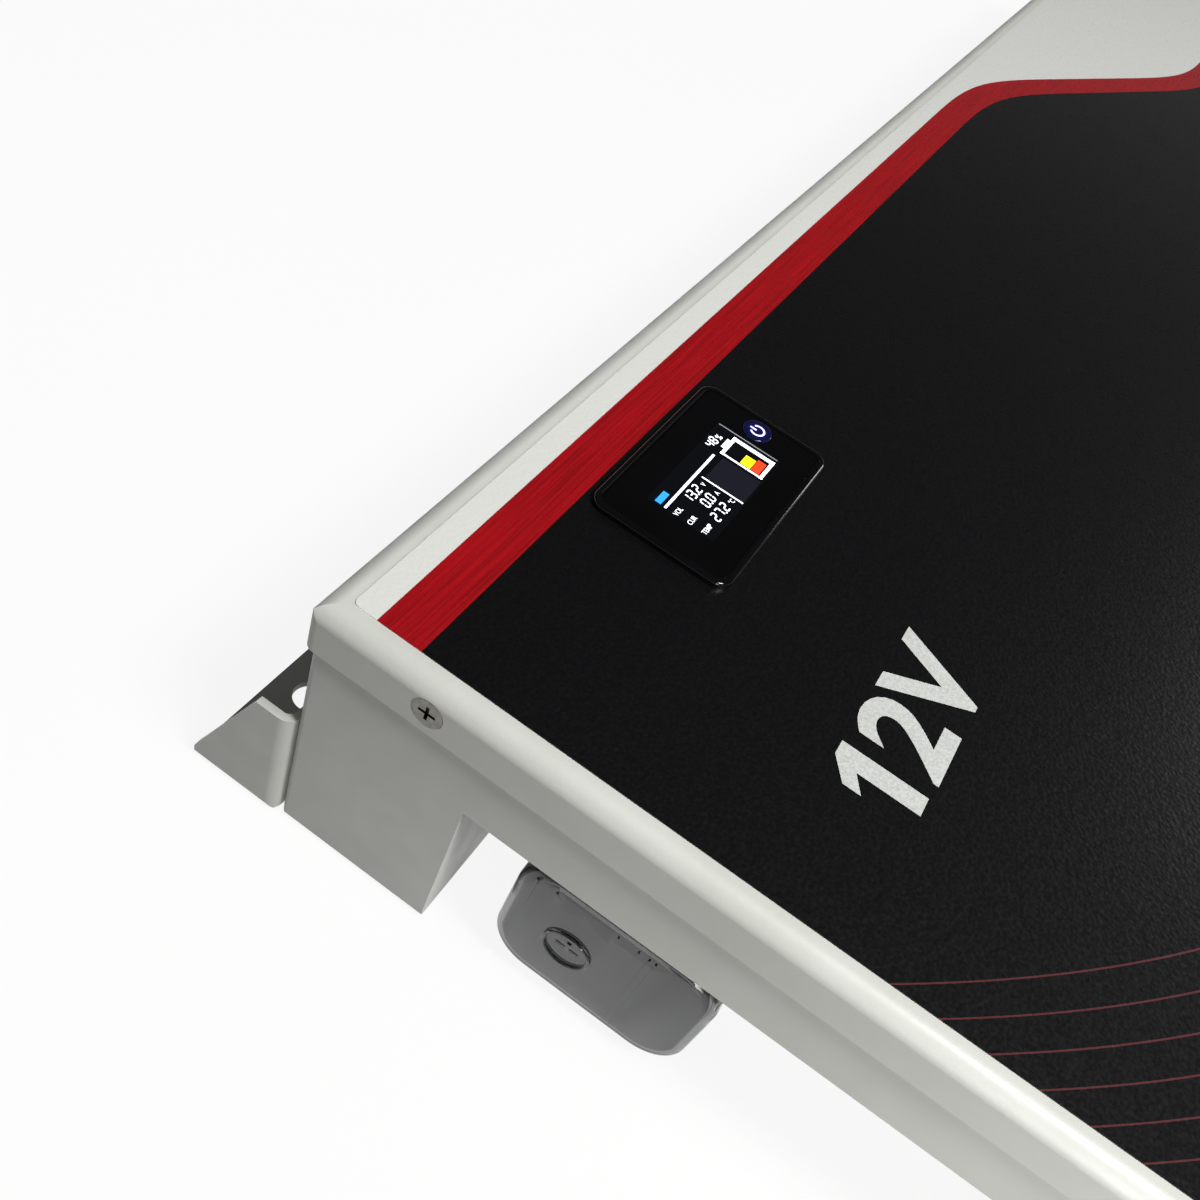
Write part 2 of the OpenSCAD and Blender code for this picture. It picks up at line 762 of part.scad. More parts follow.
// One flat cell, column i from the -X end, row s
module cell(i, s) {
    mid = (lane + cell_w / 2) * s;
    color("steelblue") difference() {
        translate([cell_cx[i], mid - cell_w / 2, pole_z]) rotate([-90, 0, 0])
            linear_extrude(cell_w) rrect(cell_l, cell_t, 3);
        rod_y([cell_cx[i], s * (lane - 1), pole_z], 9, 1.8, s);
    }
    color("silver") for (k = [-1, 1]) {
        rod_y([cell_cx[i] + k * pole_gap / 2, s * (lane + eps), pole_z], pole_d / 2, pole_h + eps, -s);
        rod_y([cell_cx[i] + k * pole_gap / 2, s * (lane - 1), pole_z], stud_d / 2, pole_h + bar_t + 6, -s);
    }
}

module cell_1() {
    cell(0, 1);
}

module cell_2() {
    cell(1, 1);
}

module cell_3() {
    cell(2, 1);
}

module cell_4() {
    cell(3, 1);
}

module cell_5() {
    cell(0, -1);
}

module cell_6() {
    cell(1, -1);
}

module cell_7() {
    cell(2, -1);
}

module cell_8() {
    cell(3, -1);
}

module cell_separators() {
    color("ivory") for (i = [0:2], s = [-1, 1]) {
        x = cell_x0 + cell_l + i * pitch;
        block([x, s > 0 ? lane : -row_y, cell_z0], [x + cell_gap, s > 0 ? row_y : -lane, cell_z1]);
    }
}

// Channel-shaped busbar that joins the poles from x0 to x1 on both rows
module busbar(x0, x1) {
    difference() {
        block([x0 - bar_w / 2, -bar_y, bar_z0], [x1 + bar_w / 2, bar_y, bar_z0 + bar_h]);
        block([x0 - bar_w, -bar_y + bar_t, bar_z0 + bar_t], [x1 + bar_w, bar_y - bar_t, bar_z0 + bar_h + 1]);
        for (x = x0 == x1 ? [x0] : [x0, x1]) {
            rod_y([x, -lane, pole_z], stud_d / 2 + screw_fit, lane_w, 1);
        }
    }
}

module series_busbars() {
    color("peru") for (i = [0:2]) {
        busbar(pole_x[2 * i + 1], pole_x[2 * i + 2]);
    }
}

module positive_busbar() {
    color("peru") busbar(pole_x[7], pole_x[7]);
}

module negative_busbar() {
    color("peru") busbar(pole_x[0], pole_x[0]);
}

module pole_nuts() {
    color("silver") for (x = pole_x, s = [-1, 1]) {
        difference() {
            hex_y([x, s * (bar_y - bar_t), pole_z], stud_d * 1.67, stud_d * 0.8, -s);
            rod_y([x, s * lane, pole_z], stud_d / 2 + screw_fit, lane, -s);
        }
    }
}

module back_pad() {
    color("dimgray") block([cell_x0, -row_y, tray_t], [cell_end, row_y, cell_z0]);
}

module side_foam() {
    color("dimgray") difference() {
        block([cell_x0, row_y, cell_z0 + 6], [cell_end, in_y, cell_z1 - 2]);
        block([cell_x0, -in_y, cell_z0 + 6], [cell_end, -row_y, cell_z1 - 2]);
        at_foot_screws() translate([0, 0, -15]) cylinder(r = foot_screw_d * 1.2, h = 20);
    }
}

module end_blocks() {
    color("dimgray") {
        block([cell_end, -row_y + 6, cell_z0 + 4], [in_x, row_y - 6, cell_z1 - 2]);
        for (s = [-1, 1]) {
            y0 = bay_w / 2 + bay_t + 3;
            y1 = in_y - 8;
            block([-in_x, s > 0 ? y0 : -y1, tray_t + 3], [cell_x0, s > 0 ? y1 : -y0, cell_z1 - 6]);
        }
    }
}

module insulation_sheet() {
    color("honeydew") difference() {
        block([cell_x0, -row_y, cell_z1], [cell_end, row_y, sheet_z]);
        for (i = [0:3]) {
            x = i == 0 ? pole_x[0] : pole_x[2 * i];
            block([x - 16, -bar_y, cell_z1 - 1], [x + 6, bar_y, sheet_z + 1]);
        }
        block([pole_x[7] - 16, -bar_y, cell_z1 - 1], [pole_x[7] + 12, bar_y, sheet_z + 1]);
    }
}

module bms_board() {
    color("darkgreen") difference() {
        block([bms_x0, -bms_w / 2, bms_z], [bms_x0 + bms_l, bms_w / 2, fet_z]);
        for (x = [bms_x0 + 4, bms_x0 + bms_l - 4], s = [-1, 1]) {
            translate([x, s * (bms_w / 2 - 4), bms_z - 1]) cylinder(d = 3.2, h = board_t + 2);
        }
    }
}

module bms_standoffs() {
    color("ivory") for (x = [bms_x0 + 4, bms_x0 + bms_l - 4], s = [-1, 1]) {
        translate([x, s * (bms_w / 2 - 4), sheet_z]) cylinder(d = 6, h = post_h);
        translate([x, s * (bms_w / 2 - 4), bms_z - eps]) cylinder(d = 2.8, h = board_t + 1);
    }
}

module bms_transistors() {
    color("black") for (i = [0:8], s = [-1, 1]) {
        x = bms_x0 + 30 + i * (bms_l - 60) / 8;
        block([x - 5, s * 16 - 7, fet_z], [x + 5, s * 16 + 7, sink_z]);
    }
}

module bms_heat_spreader() {
    color("silver") difference() {
        block([bms_x0 + 20, -30, sink_z], [bms_x0 + bms_l - 20, 30, sink_z + sink_t]);
        for (y = [-22:8:22]) {
            block([bms_x0 + 19, y, sink_z + 2], [bms_x0 + bms_l - 19, y + 4, sink_z + sink_t + 1]);
        }
    }
}

module bms_parts() {
    color("black") {
        block([bms_x0 + bms_l - 18, -14, sheet_z + 0.5], [bms_x0 + bms_l - 10, 11, bms_z]);
        block([bms_x0 + bms_l - 40, 34, fet_z], [bms_x0 + bms_l - 16, 46, fet_z + 2.4]);
        for (i = [0:3]) {
            translate([bms_x0 + 40 + i * 14, 40, fet_z]) cylinder(d = 8, h = 9);
        }
        for (i = [0:4]) {
            block([bms_x0 + 40 + i * 12, -44, fet_z], [bms_x0 + 48 + i * 12, -38, fet_z + 1.6]);
        }
    }
}

// Wires from each busbar through the sheet to the connector under the board
module sensing_wires() {
    r = wire_d / 2;
    run_z = sheet_z + 2;
    plug_x0 = bms_x0 + bms_l - 18;
    plug_x1 = bms_x0 + bms_l - 10;
    color("firebrick") for (i = [1:4]) {
        x = i < 4 ? pole_x[2 * i] - 8 : pole_x[7] + 4;
        y = 3 * i - 9;
        face = x < plug_x0 ? plug_x0 : plug_x1;
        translate([x, y, bar_z0 + bar_t]) cylinder(r = r, h = run_z - bar_z0 - bar_t);
        translate([x, y, run_z]) sphere(r);
        rod_x([min(x, face), y, run_z], r, abs(x - face));
    }
}

case_tray();
bay_liner();
front_lid();
lid_gasket();
lid_screws();
lid_nuts();
front_label();
foot_top_left();
foot_top_right();
foot_bottom_left();
foot_bottom_right();
foot_screws();
foot_nuts();
display_frame();
display_window();
lcd_panel();
display_board();
power_button();
button_switch();
display_cable();
positive_plate();
negative_plate();
inner_collars();
positive_post();
negative_post();
positive_washers();
negative_washers();
positive_bolt();
negative_bolt();
positive_cover();
negative_cover();
positive_nut();
negative_nut();
positive_strap();
negative_strap();
bms_strap();
cell_1();
cell_2();
cell_3();
cell_4();
cell_5();
cell_6();
cell_7();
cell_8();
cell_separators();
series_busbars();
positive_busbar();
negative_busbar();
pole_nuts();
back_pad();
side_foam();
end_blocks();
insulation_sheet();
bms_board();
bms_standoffs();
bms_transistors();
bms_heat_spreader();
bms_parts();
sensing_wires();
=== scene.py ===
"""Slimline deep cycle battery: looks, small detail and stage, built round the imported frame."""
import math

import bmesh
import bpy
from mathutils import Matrix, Vector


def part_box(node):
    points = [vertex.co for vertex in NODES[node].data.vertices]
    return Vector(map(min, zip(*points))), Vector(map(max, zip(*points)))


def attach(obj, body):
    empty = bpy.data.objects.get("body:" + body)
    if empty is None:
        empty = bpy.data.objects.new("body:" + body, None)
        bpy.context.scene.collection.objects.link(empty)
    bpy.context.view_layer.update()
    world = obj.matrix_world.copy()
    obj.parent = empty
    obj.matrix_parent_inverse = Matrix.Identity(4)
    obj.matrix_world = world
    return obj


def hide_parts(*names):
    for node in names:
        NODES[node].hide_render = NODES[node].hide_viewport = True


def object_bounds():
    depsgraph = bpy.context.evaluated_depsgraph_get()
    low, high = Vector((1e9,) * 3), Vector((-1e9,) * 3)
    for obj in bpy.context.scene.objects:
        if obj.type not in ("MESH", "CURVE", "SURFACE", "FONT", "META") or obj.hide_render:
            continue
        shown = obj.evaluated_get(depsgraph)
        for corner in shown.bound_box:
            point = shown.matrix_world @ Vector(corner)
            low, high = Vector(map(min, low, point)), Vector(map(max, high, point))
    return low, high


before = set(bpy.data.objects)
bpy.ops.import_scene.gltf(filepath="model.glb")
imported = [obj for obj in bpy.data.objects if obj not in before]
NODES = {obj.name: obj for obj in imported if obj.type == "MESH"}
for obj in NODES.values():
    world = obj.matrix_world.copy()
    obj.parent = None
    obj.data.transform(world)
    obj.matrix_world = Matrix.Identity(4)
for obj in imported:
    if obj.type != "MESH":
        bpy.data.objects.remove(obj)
CAD_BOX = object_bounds()

bl_info = {
    "name": "Deep Cycle Battery",
    "version": (1, 0, 0),
    "blender": (4, 5, 0),
    "location": "3D View > Sidebar > Battery",
    "description": "Builds the finishes, the screen, the clear covers and the stage of a deep cycle battery",
    "category": "Object",
}

MM = 0.001
LID_LOW, LID_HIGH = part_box("front_lid")
FILM_LOW, FILM_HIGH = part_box("front_label")
CASE_BODY = "case"
POWDER_NODES = (
    "case_tray", "bay_liner", "front_lid",
    "foot_top_left", "foot_top_right", "foot_bottom_left", "foot_bottom_right",
)
SIDES = (("positive", 1), ("negative", -1))
COVER_RELIEF = 0.8 * MM


# ---------------------------------------------------------------- sizes and colours

class BatteryColours(bpy.types.PropertyGroup):
    """Colours a user would change."""

    powder: bpy.props.StringProperty(
        name="Powder Coat", description="Colour of the painted case, as sRGB hex", default="DEDFD8")
    film_white: bpy.props.StringProperty(
        name="Film White", description="Colour of the printed white band, as sRGB hex", default="E9EAE4")
    film_red: bpy.props.StringProperty(
        name="Film Red", description="Colour of the printed stripe, as sRGB hex", default="B20D16")
    film_black: bpy.props.StringProperty(
        name="Film Black", description="Colour of the printed field, as sRGB hex", default="0B0B0D")
    glow: bpy.props.StringProperty(
        name="Button Glow", description="Colour of the lit power button, as sRGB hex", default="10135A")


class BatterySizes(bpy.types.PropertyGroup):
    """Sizes a user would change."""

    white_band: bpy.props.FloatProperty(
        name="White Band", description="Width of the white band from the lid edge to the stripe",
        default=11.6 * MM, unit="LENGTH")
    stripe: bpy.props.FloatProperty(
        name="Stripe", description="Width of the red stripe", default=10.6 * MM, unit="LENGTH")
    tab_drop: bpy.props.FloatProperty(
        name="Tab Drop", description="Depth of the white tab at the far end of the band",
        default=83 * MM, unit="LENGTH")
    tab_start: bpy.props.FloatProperty(
        name="Tab Start", description="Distance from the bay end to where the stripe bends",
        default=389 * MM, unit="LENGTH")
    peel: bpy.props.FloatProperty(
        name="Powder Grain", description="Size of the orange peel in the powder coat",
        default=1.1 * MM, unit="LENGTH")
    pebble: bpy.props.FloatProperty(
        name="Film Pebble", description="Size of the pebbles in the textured film",
        default=0.9 * MM, unit="LENGTH")
    lamp: bpy.props.FloatProperty(
        name="Main Lamp", description="Power of the main lamp", default=24.0, unit="POWER")


# ---------------------------------------------------------------- materials

def linear(code):
    """Turns sRGB hex into a linear colour."""
    values = [int(code[i:i + 2], 16) / 255 for i in (0, 2, 4)]
    return tuple(v / 12.92 if v <= 0.04045 else ((v + 0.055) / 1.055) ** 2.4 for v in values) + (1.0,)


def add(tree, kind, settings=None, links=None):
    """Adds a node, sets its attributes and fills its inputs with values or other nodes' sockets."""
    node = tree.nodes.new(kind)
    for key, value in (settings or {}).items():
        setattr(node, key, value)
    for key, value in (links or {}).items():
        if isinstance(value, bpy.types.NodeSocket):
            tree.links.new(value, node.inputs[key])
        else:
            node.inputs[key].default_value = value
    return node


def material(name, colour, roughness, metallic=0.0, ior=1.5, **sockets):
    """Starts a material; returns it with its node tree and shader."""
    mat = bpy.data.materials.new(name)
    mat.use_nodes = True
    mat.diffuse_color = linear(colour)
    tree = mat.node_tree
    shader = tree.nodes["Principled BSDF"]
    shader.inputs["Base Color"].default_value = linear(colour)
    shader.inputs["Roughness"].default_value = roughness
    shader.inputs["Metallic"].default_value = metallic
    shader.inputs["IOR"].default_value = ior
    for key, value in sockets.items():
        shader.inputs[key.replace("_", " ")].default_value = value
    return mat, tree, shader


def millimetres(tree, stretch=(1, 1, 1)):
    """Gives the surface point in millimetres, stretched for patterns that run one way."""
    place = add(tree, "ShaderNodeTexCoord")
    scaled = add(tree, "ShaderNodeVectorMath", {"operation": "MULTIPLY"},
                 {0: place.outputs["Object"], 1: tuple(s / MM for s in stretch)})
    return scaled.outputs[0]


def mottle(tree, shader, colour, shade, size_mm, where, low=0.35, high=0.65):
    """Varies the base colour between two shades in patches of a real size."""
    noise = add(tree, "ShaderNodeTexNoise", None, {"Vector": where, "Scale": 1 / size_mm, "Detail": 4.0})
    ramp = add(tree, "ShaderNodeMapRange", None,
               {"Value": noise.outputs["Fac"], "From Min": low, "From Max": high})
    mix = add(tree, "ShaderNodeMix", {"data_type": "RGBA"},
              {0: ramp.outputs[0], 6: linear(colour), 7: linear(shade)})
    tree.links.new(mix.outputs[2], shader.inputs["Base Color"])
    return mix


def grain(tree, shader, size_mm, height_mm, where, detail=2.0, strength=1.0):
    """Gives the surface a fine relief of a real size and height."""
    noise = add(tree, "ShaderNodeTexNoise", None, {"Vector": where, "Scale": 1 / size_mm, "Detail": detail})
    bump = add(tree, "ShaderNodeBump", None,
               {"Strength": strength, "Distance": height_mm * MM, "Height": noise.outputs["Fac"]})
    tree.links.new(bump.outputs[0], shader.inputs["Normal"])


def uneven_gloss(tree, shader, size_mm, low, high, where):
    """Lets the gloss vary a little, as a handled surface does."""
    noise = add(tree, "ShaderNodeTexNoise", None, {"Vector": where, "Scale": 1 / size_mm, "Detail": 3.0})
    ramp = add(tree, "ShaderNodeMapRange", None, {
        "Value": noise.outputs["Fac"], "From Min": 0.3, "From Max": 0.7, "To Min": low, "To Max": high})
    tree.links.new(ramp.outputs[0], shader.inputs["Roughness"])


def plain_finish(name, colour, shade, roughness, grain_mm, height_mm, metallic=0.0, ior=1.5,
                 patch_mm=9.0, stretch=(1, 1, 1), **sockets):
    """A finish with patches of two shades, a fine relief and an uneven gloss."""
    mat, tree, shader = material(name, colour, roughness, metallic, ior, **sockets)
    where = millimetres(tree, stretch)
    mottle(tree, shader, colour, shade, patch_mm, where)
    grain(tree, shader, grain_mm, height_mm, where)
    uneven_gloss(tree, shader, patch_mm * 0.6, roughness * 0.85, min(1.0, roughness * 1.15), where)
    return mat


def powder_coat():
    """Polyester powder coat on folded steel: sprayed and baked, so it has a soft satin orange peel."""
    scene = bpy.context.scene
    code = scene.battery_colours.powder
    mat, tree, shader = material("powder_coated_steel", code, 0.42, ior=1.5)
    where = millimetres(tree)
    mottle(tree, shader, code, "D6D7CF", 26.0, where, 0.3, 0.7)
    peel_mm = scene.battery_sizes.peel / MM
    fine_share = 0.35
    coarse = add(tree, "ShaderNodeTexNoise", None, {"Vector": where, "Scale": 1 / peel_mm, "Detail": 1.5})
    fine = add(tree, "ShaderNodeTexNoise", None, {"Vector": where, "Scale": 3.6 / peel_mm, "Detail": 2.0})
    both = add(tree, "ShaderNodeMath", {"operation": "MULTIPLY_ADD"},
               {0: fine.outputs["Fac"], 1: fine_share, 2: coarse.outputs["Fac"]})
    bump = add(tree, "ShaderNodeBump", None,
               {"Strength": 0.55, "Distance": 0.05 * MM, "Height": both.outputs[0]})
    tree.links.new(bump.outputs[0], shader.inputs["Normal"])
    uneven_gloss(tree, shader, 7.0, 0.36, 0.48, where)
    return mat


def printed_film():
    """Textured polyester film with a screen print under a satin face: white band, red stripe, black field."""
    scene = bpy.context.scene
    sizes = scene.battery_sizes
    colours = scene.battery_colours
    mat, tree, shader = material("printed_polyester_film", colours.film_black, 0.3, ior=1.5)
    where = millimetres(tree)
    split = add(tree, "ShaderNodeSeparateXYZ", None, {0: where})
    x, y = split.outputs[0], split.outputs[1]
    top = (LID_HIGH.y - sizes.white_band) / MM
    low = (LID_HIGH.y - sizes.tab_drop) / MM
    bend = (LID_LOW.x + sizes.tab_start) / MM
    slope = 0.52
    norm = math.hypot(1, slope)
    stripe = sizes.stripe / MM
    bend_round = 22.0
    soft_edge = 0.06

    # Depth below each straight run of the stripe's outer edge, joined by rounded bends
    level = add(tree, "ShaderNodeMath", {"operation": "SUBTRACT"}, {0: top, 1: y})
    slant = add(tree, "ShaderNodeVectorMath", {"operation": "DOT_PRODUCT"},
                {0: where, 1: (-slope / norm, -1 / norm, 0)})
    slanted = add(tree, "ShaderNodeMath", {"operation": "ADD"},
                  {0: slant.outputs["Value"], 1: (top + slope * bend) / norm})
    first = add(tree, "ShaderNodeMath", {"operation": "SMOOTH_MIN"},
                {0: level.outputs[0], 1: slanted.outputs[0], 2: bend_round})
    far = add(tree, "ShaderNodeMath", {"operation": "SUBTRACT"}, {0: low, 1: y})
    depth = add(tree, "ShaderNodeMath", {"operation": "SMOOTH_MAX"},
                {0: first.outputs[0], 1: far.outputs[0], 2: bend_round})
    in_red = add(tree, "ShaderNodeMapRange", None,
                 {"Value": depth.outputs[0], "From Min": -soft_edge, "From Max": soft_edge})
    in_black = add(tree, "ShaderNodeMapRange", None, {
        "Value": depth.outputs[0], "From Min": stripe - soft_edge, "From Max": stripe + soft_edge})

    # The stripe shows fine drag lines of the print along its length
    along = millimetres(tree, (0.03, 2.4, 0))
    drag = add(tree, "ShaderNodeTexNoise", None, {"Vector": along, "Scale": 1.0, "Detail": 3.0})
    drag_line = add(tree, "ShaderNodeMapRange", None,
                    {"Value": drag.outputs["Fac"], "From Min": 0.38, "From Max": 0.62})
    red = add(tree, "ShaderNodeMix", {"data_type": "RGBA"},
              {0: drag_line.outputs[0], 6: linear("8E0A12"), 7: linear(colours.film_red)})

    # Fine dark red lines fan out from the bay end, one every ten millimetres, below the topmost line
    fan_reach = 130
    fan_drop = 162
    fan_top = 125.2
    reach = add(tree, "ShaderNodeMath", {"operation": "SUBTRACT"}, {0: x, 1: FILM_LOW.x / MM})
    decay = add(tree, "ShaderNodeMath", {"operation": "MULTIPLY"}, {0: reach.outputs[0], 1: -1 / fan_reach})
    curve = add(tree, "ShaderNodeMath", {"operation": "EXPONENT"}, {0: decay.outputs[0]})
    drop = add(tree, "ShaderNodeMath", {"operation": "MULTIPLY_ADD"},
               {0: curve.outputs[0], 1: -fan_drop, 2: fan_drop})
    lift = add(tree, "ShaderNodeMath", {"operation": "ADD"}, {0: y, 1: drop.outputs[0]})
    start = LID_HIGH.y / MM - fan_top
    rank = add(tree, "ShaderNodeMath", {"operation": "SUBTRACT"}, {0: lift.outputs[0], 1: start})
    tenth = add(tree, "ShaderNodeMath", {"operation": "MULTIPLY"}, {0: rank.outputs[0], 1: 0.1})
    near = add(tree, "ShaderNodeMath", {"operation": "PINGPONG"}, {0: tenth.outputs[0], 1: 0.5})
    line = add(tree, "ShaderNodeMapRange", None,
               {"Value": near.outputs[0], "From Min": 0.022, "From Max": 0.030, "To Min": 1.0, "To Max": 0.0})
    below = add(tree, "ShaderNodeMath", {"operation": "LESS_THAN"}, {0: rank.outputs[0], 1: 2.0})
    fan = add(tree, "ShaderNodeMath", {"operation": "MULTIPLY"}, {0: line.outputs[0], 1: below.outputs[0]})
    faint = add(tree, "ShaderNodeMath", {"operation": "MULTIPLY"}, {0: fan.outputs[0], 1: 0.75})
    field = add(tree, "ShaderNodeMix", {"data_type": "RGBA"},
                {0: faint.outputs[0], 6: linear(colours.film_black), 7: linear("6A3436")})

    lower = add(tree, "ShaderNodeMix", {"data_type": "RGBA"},
                {0: in_black.outputs[0], 6: red.outputs[2], 7: field.outputs[2]})
    whole = add(tree, "ShaderNodeMix", {"data_type": "RGBA"},
                {0: in_red.outputs[0], 6: linear(colours.film_white), 7: lower.outputs[2]})
    tree.links.new(whole.outputs[2], shader.inputs["Base Color"])

    pebble_mm = sizes.pebble / MM
    pebbles = add(tree, "ShaderNodeTexVoronoi", {"feature": "SMOOTH_F1"},
                  {"Vector": where, "Scale": 1 / pebble_mm, "Smoothness": 0.8})
    bump = add(tree, "ShaderNodeBump", {"invert": True},
               {"Strength": 0.7, "Distance": 0.07 * MM, "Height": pebbles.outputs["Distance"]})
    tree.links.new(bump.outputs[0], shader.inputs["Normal"])
    uneven_gloss(tree, shader, 0.8, 0.26, 0.36, where)
    return mat


def clear_polycarbonate():
    """Injection moulded clear polycarbonate: glassy, with soft flow lines; its grey tint is painted shade for
    the dark bay behind the cover.
    """
    # The grey base colour is painted shade that darkens what shows through the cover; its two shades make the
    # flow lines
    mat, tree, shader = material("clear_polycarbonate_painted_shade", "747575", 0.03, ior=1.58,
                                 Transmission_Weight=1.0)
    where = millimetres(tree, (1, 1, 0.25))
    mottle(tree, shader, "747575", "6C6D6D", 12.0, where)
    grain(tree, shader, 9.0, 0.01, where, strength=0.1)
    return mat


def cell_film():
    """Blue heat-shrunk PET film round an aluminium cell; the poles stand bare between the rows."""
    mat, tree, shader = material("shrunk_pet_film", "1D4F8F", 0.25, ior=1.57)
    where = millimetres(tree)
    film = mottle(tree, shader, "1D4F8F", "184480", 20.0, where)
    split = add(tree, "ShaderNodeSeparateXYZ", None, {0: where})
    off_middle = add(tree, "ShaderNodeMath", {"operation": "ABSOLUTE"}, {0: split.outputs[1]})
    channel_half = 21.9
    pole = add(tree, "ShaderNodeMath", {"operation": "LESS_THAN"},
               {0: off_middle.outputs[0], 1: channel_half})
    both = add(tree, "ShaderNodeMix", {"data_type": "RGBA"},
               {0: pole.outputs[0], 6: film.outputs[2], 7: linear("C9CBCD")})
    tree.links.new(both.outputs[2], shader.inputs["Base Color"])
    tree.links.new(pole.outputs[0], shader.inputs["Metallic"])
    grain(tree, shader, 14.0, 0.15, where, strength=0.4)
    return mat


def lit(name, colour, strength, roughness=0.3):
    """A part of the screen that gives its own light, with the faint unevenness of a backlight."""
    mat, tree, shader = material(name, colour, roughness)
    where = millimetres(tree)
    uneven = 0.08
    noise = add(tree, "ShaderNodeTexNoise", None, {"Vector": where, "Scale": 0.4, "Detail": 1.0})
    ramp = add(tree, "ShaderNodeMapRange", None, {
        "Value": noise.outputs["Fac"], "To Min": strength * (1 - uneven), "To Max": strength * (1 + uneven)})
    shader.inputs["Emission Color"].default_value = linear(colour)
    tree.links.new(ramp.outputs[0], shader.inputs["Emission Strength"])
    return mat


def dress(nodes, mat):
    """Gives CAD nodes a material."""
    for name in nodes:
        slots = NODES[name].material_slots
        if not len(slots):
            NODES[name].data.materials.append(mat)
        for slot in slots:
            slot.material = mat


# ---------------------------------------------------------------- shapes

def rounded(width, height, radius, steps):
    """Points round a rectangle with rounded corners, centred on nought."""
    points = []
    for quarter, (sx, sy) in enumerate(((1, 1), (-1, 1), (-1, -1), (1, -1))):
        cx = sx * (width / 2 - radius)
        cy = sy * (height / 2 - radius)
        for k in range(steps + 1):
            turn = math.radians(90 * (quarter + k / steps))
            points.append((cx + radius * math.cos(turn), cy + radius * math.sin(turn)))
    return points


def ring_points(radius, count):
    """Points round a circle."""
    turns = [2 * math.pi * k / count for k in range(count)]
    return [(radius * math.cos(t), radius * math.sin(t)) for t in turns]


def finish_piece(name, mesh, mat, body, angle=35):
    """Turns mesh data into a piece that rides on a body and takes its finish from a slot."""
    mesh.materials.clear()
    mesh.materials.append(mat)
    mesh.polygons.foreach_set("use_smooth", [True] * len(mesh.polygons))
    mesh.set_sharp_from_angle(angle=math.radians(angle))
    piece = bpy.data.objects.new(name, mesh)
    bpy.context.scene.collection.objects.link(piece)
    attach(piece, body)
    return piece


def skin(name, rings, capped=True):
    """Joins rings of points into one skin, with or without caps on its ends."""
    bm = bmesh.new()
    rows = [[bm.verts.new(p) for p in ring] for ring in rings]
    for a, b in zip(rows, rows[1:]):
        count = len(a)
        for k in range(count):
            n = (k + 1) % count
            bm.faces.new((a[k], a[n], b[n], b[k]))
    if capped:
        bm.faces.new(rows[0])
        bm.faces.new(list(reversed(rows[-1])))
    bmesh.ops.recalc_face_normals(bm, faces=bm.faces)
    mesh = bpy.data.meshes.new(name)
    bm.to_mesh(mesh)
    bm.free()
    return mesh


def merge(name, meshes):
    """Puts several meshes into one."""
    bm = bmesh.new()
    for mesh in meshes:
        bm.from_mesh(mesh)
    out = bpy.data.meshes.new(name)
    bm.to_mesh(out)
    bm.free()
    for mesh in meshes:
        bpy.data.meshes.remove(mesh)
    return out


def carve(mesh, tool, operation="DIFFERENCE"):
    """Cuts one mesh with another, or joins them, and gives the result."""
    base = bpy.data.objects.new("carve_base", mesh)
    other = bpy.data.objects.new("carve_tool", tool)
    for obj in (base, other):
        bpy.context.scene.collection.objects.link(obj)
    cut = base.modifiers.new("carve", "BOOLEAN")
    cut.object = other
    cut.operation = operation
    cut.solver = "EXACT"
    bpy.context.view_layer.update()
    out = bpy.data.meshes.new_from_object(base.evaluated_get(bpy.context.evaluated_depsgraph_get()))
    for obj in (base, other):
        bpy.data.objects.remove(obj)
    for old in (mesh, tool):
        bpy.data.meshes.remove(old)
    return out


def slab(name, outline, low, high):
    """A flat plate of any outline in XY."""
    return skin(name, [[(x, y, z) for x, y in outline] for z in (low, high)])


def plate_stack(name, cx, cy, layers):
    """A rounded plate lofted through layers of (width, height, corner radius, z)."""
    steps = 12
    rings = []
    for width, height, radius, z in layers:
        rings.append([(cx + u, cy + v, z) for u, v in rounded(width, height, radius, steps)])
    return skin(name, rings)


def turned(name, centre, axis, profile, count=48, capped=True):
    """A turned shape: profile is a list of (radius, distance along the axis)."""
    along = Vector(axis).normalized()
    side = along.orthogonal().normalized()
    up = along.cross(side)
    rings = []
    for radius, far in profile:
        middle = Vector(centre) + along * far
        rings.append([middle + side * a + up * b for a, b in ring_points(radius, count)])
    return skin(name, rings, capped)


def strip(name, points, width, low, high):
    """A flat raised strip that follows a line of points in XY."""
    left, right = [], []
    for k, point in enumerate(points):
        before = Vector(points[max(k - 1, 0)])
        after = Vector(points[min(k + 1, len(points) - 1)])
        run = (after - before).normalized()
        side = Vector((-run.y, run.x)) * width / 2
        left.append(Vector(point) + side)
        right.append(Vector(point) - side)
    outline = [tuple(p) for p in left] + [tuple(p) for p in reversed(right)]
    bm = bmesh.new()
    rows = [[bm.verts.new((x, y, z)) for x, y in outline] for z in (low, high)]
    count = len(outline)
    half = count // 2
    for k in range(count):
        n = (k + 1) % count
        bm.faces.new((rows[0][k], rows[0][n], rows[1][n], rows[1][k]))
    for k in range(half - 1):
        for row in rows:
            bm.faces.new((row[k], row[k + 1], row[count - 2 - k], row[count - 1 - k]))
    bmesh.ops.recalc_face_normals(bm, faces=bm.faces)
    mesh = bpy.data.meshes.new(name)
    bm.to_mesh(mesh)
    bm.free()
    return mesh


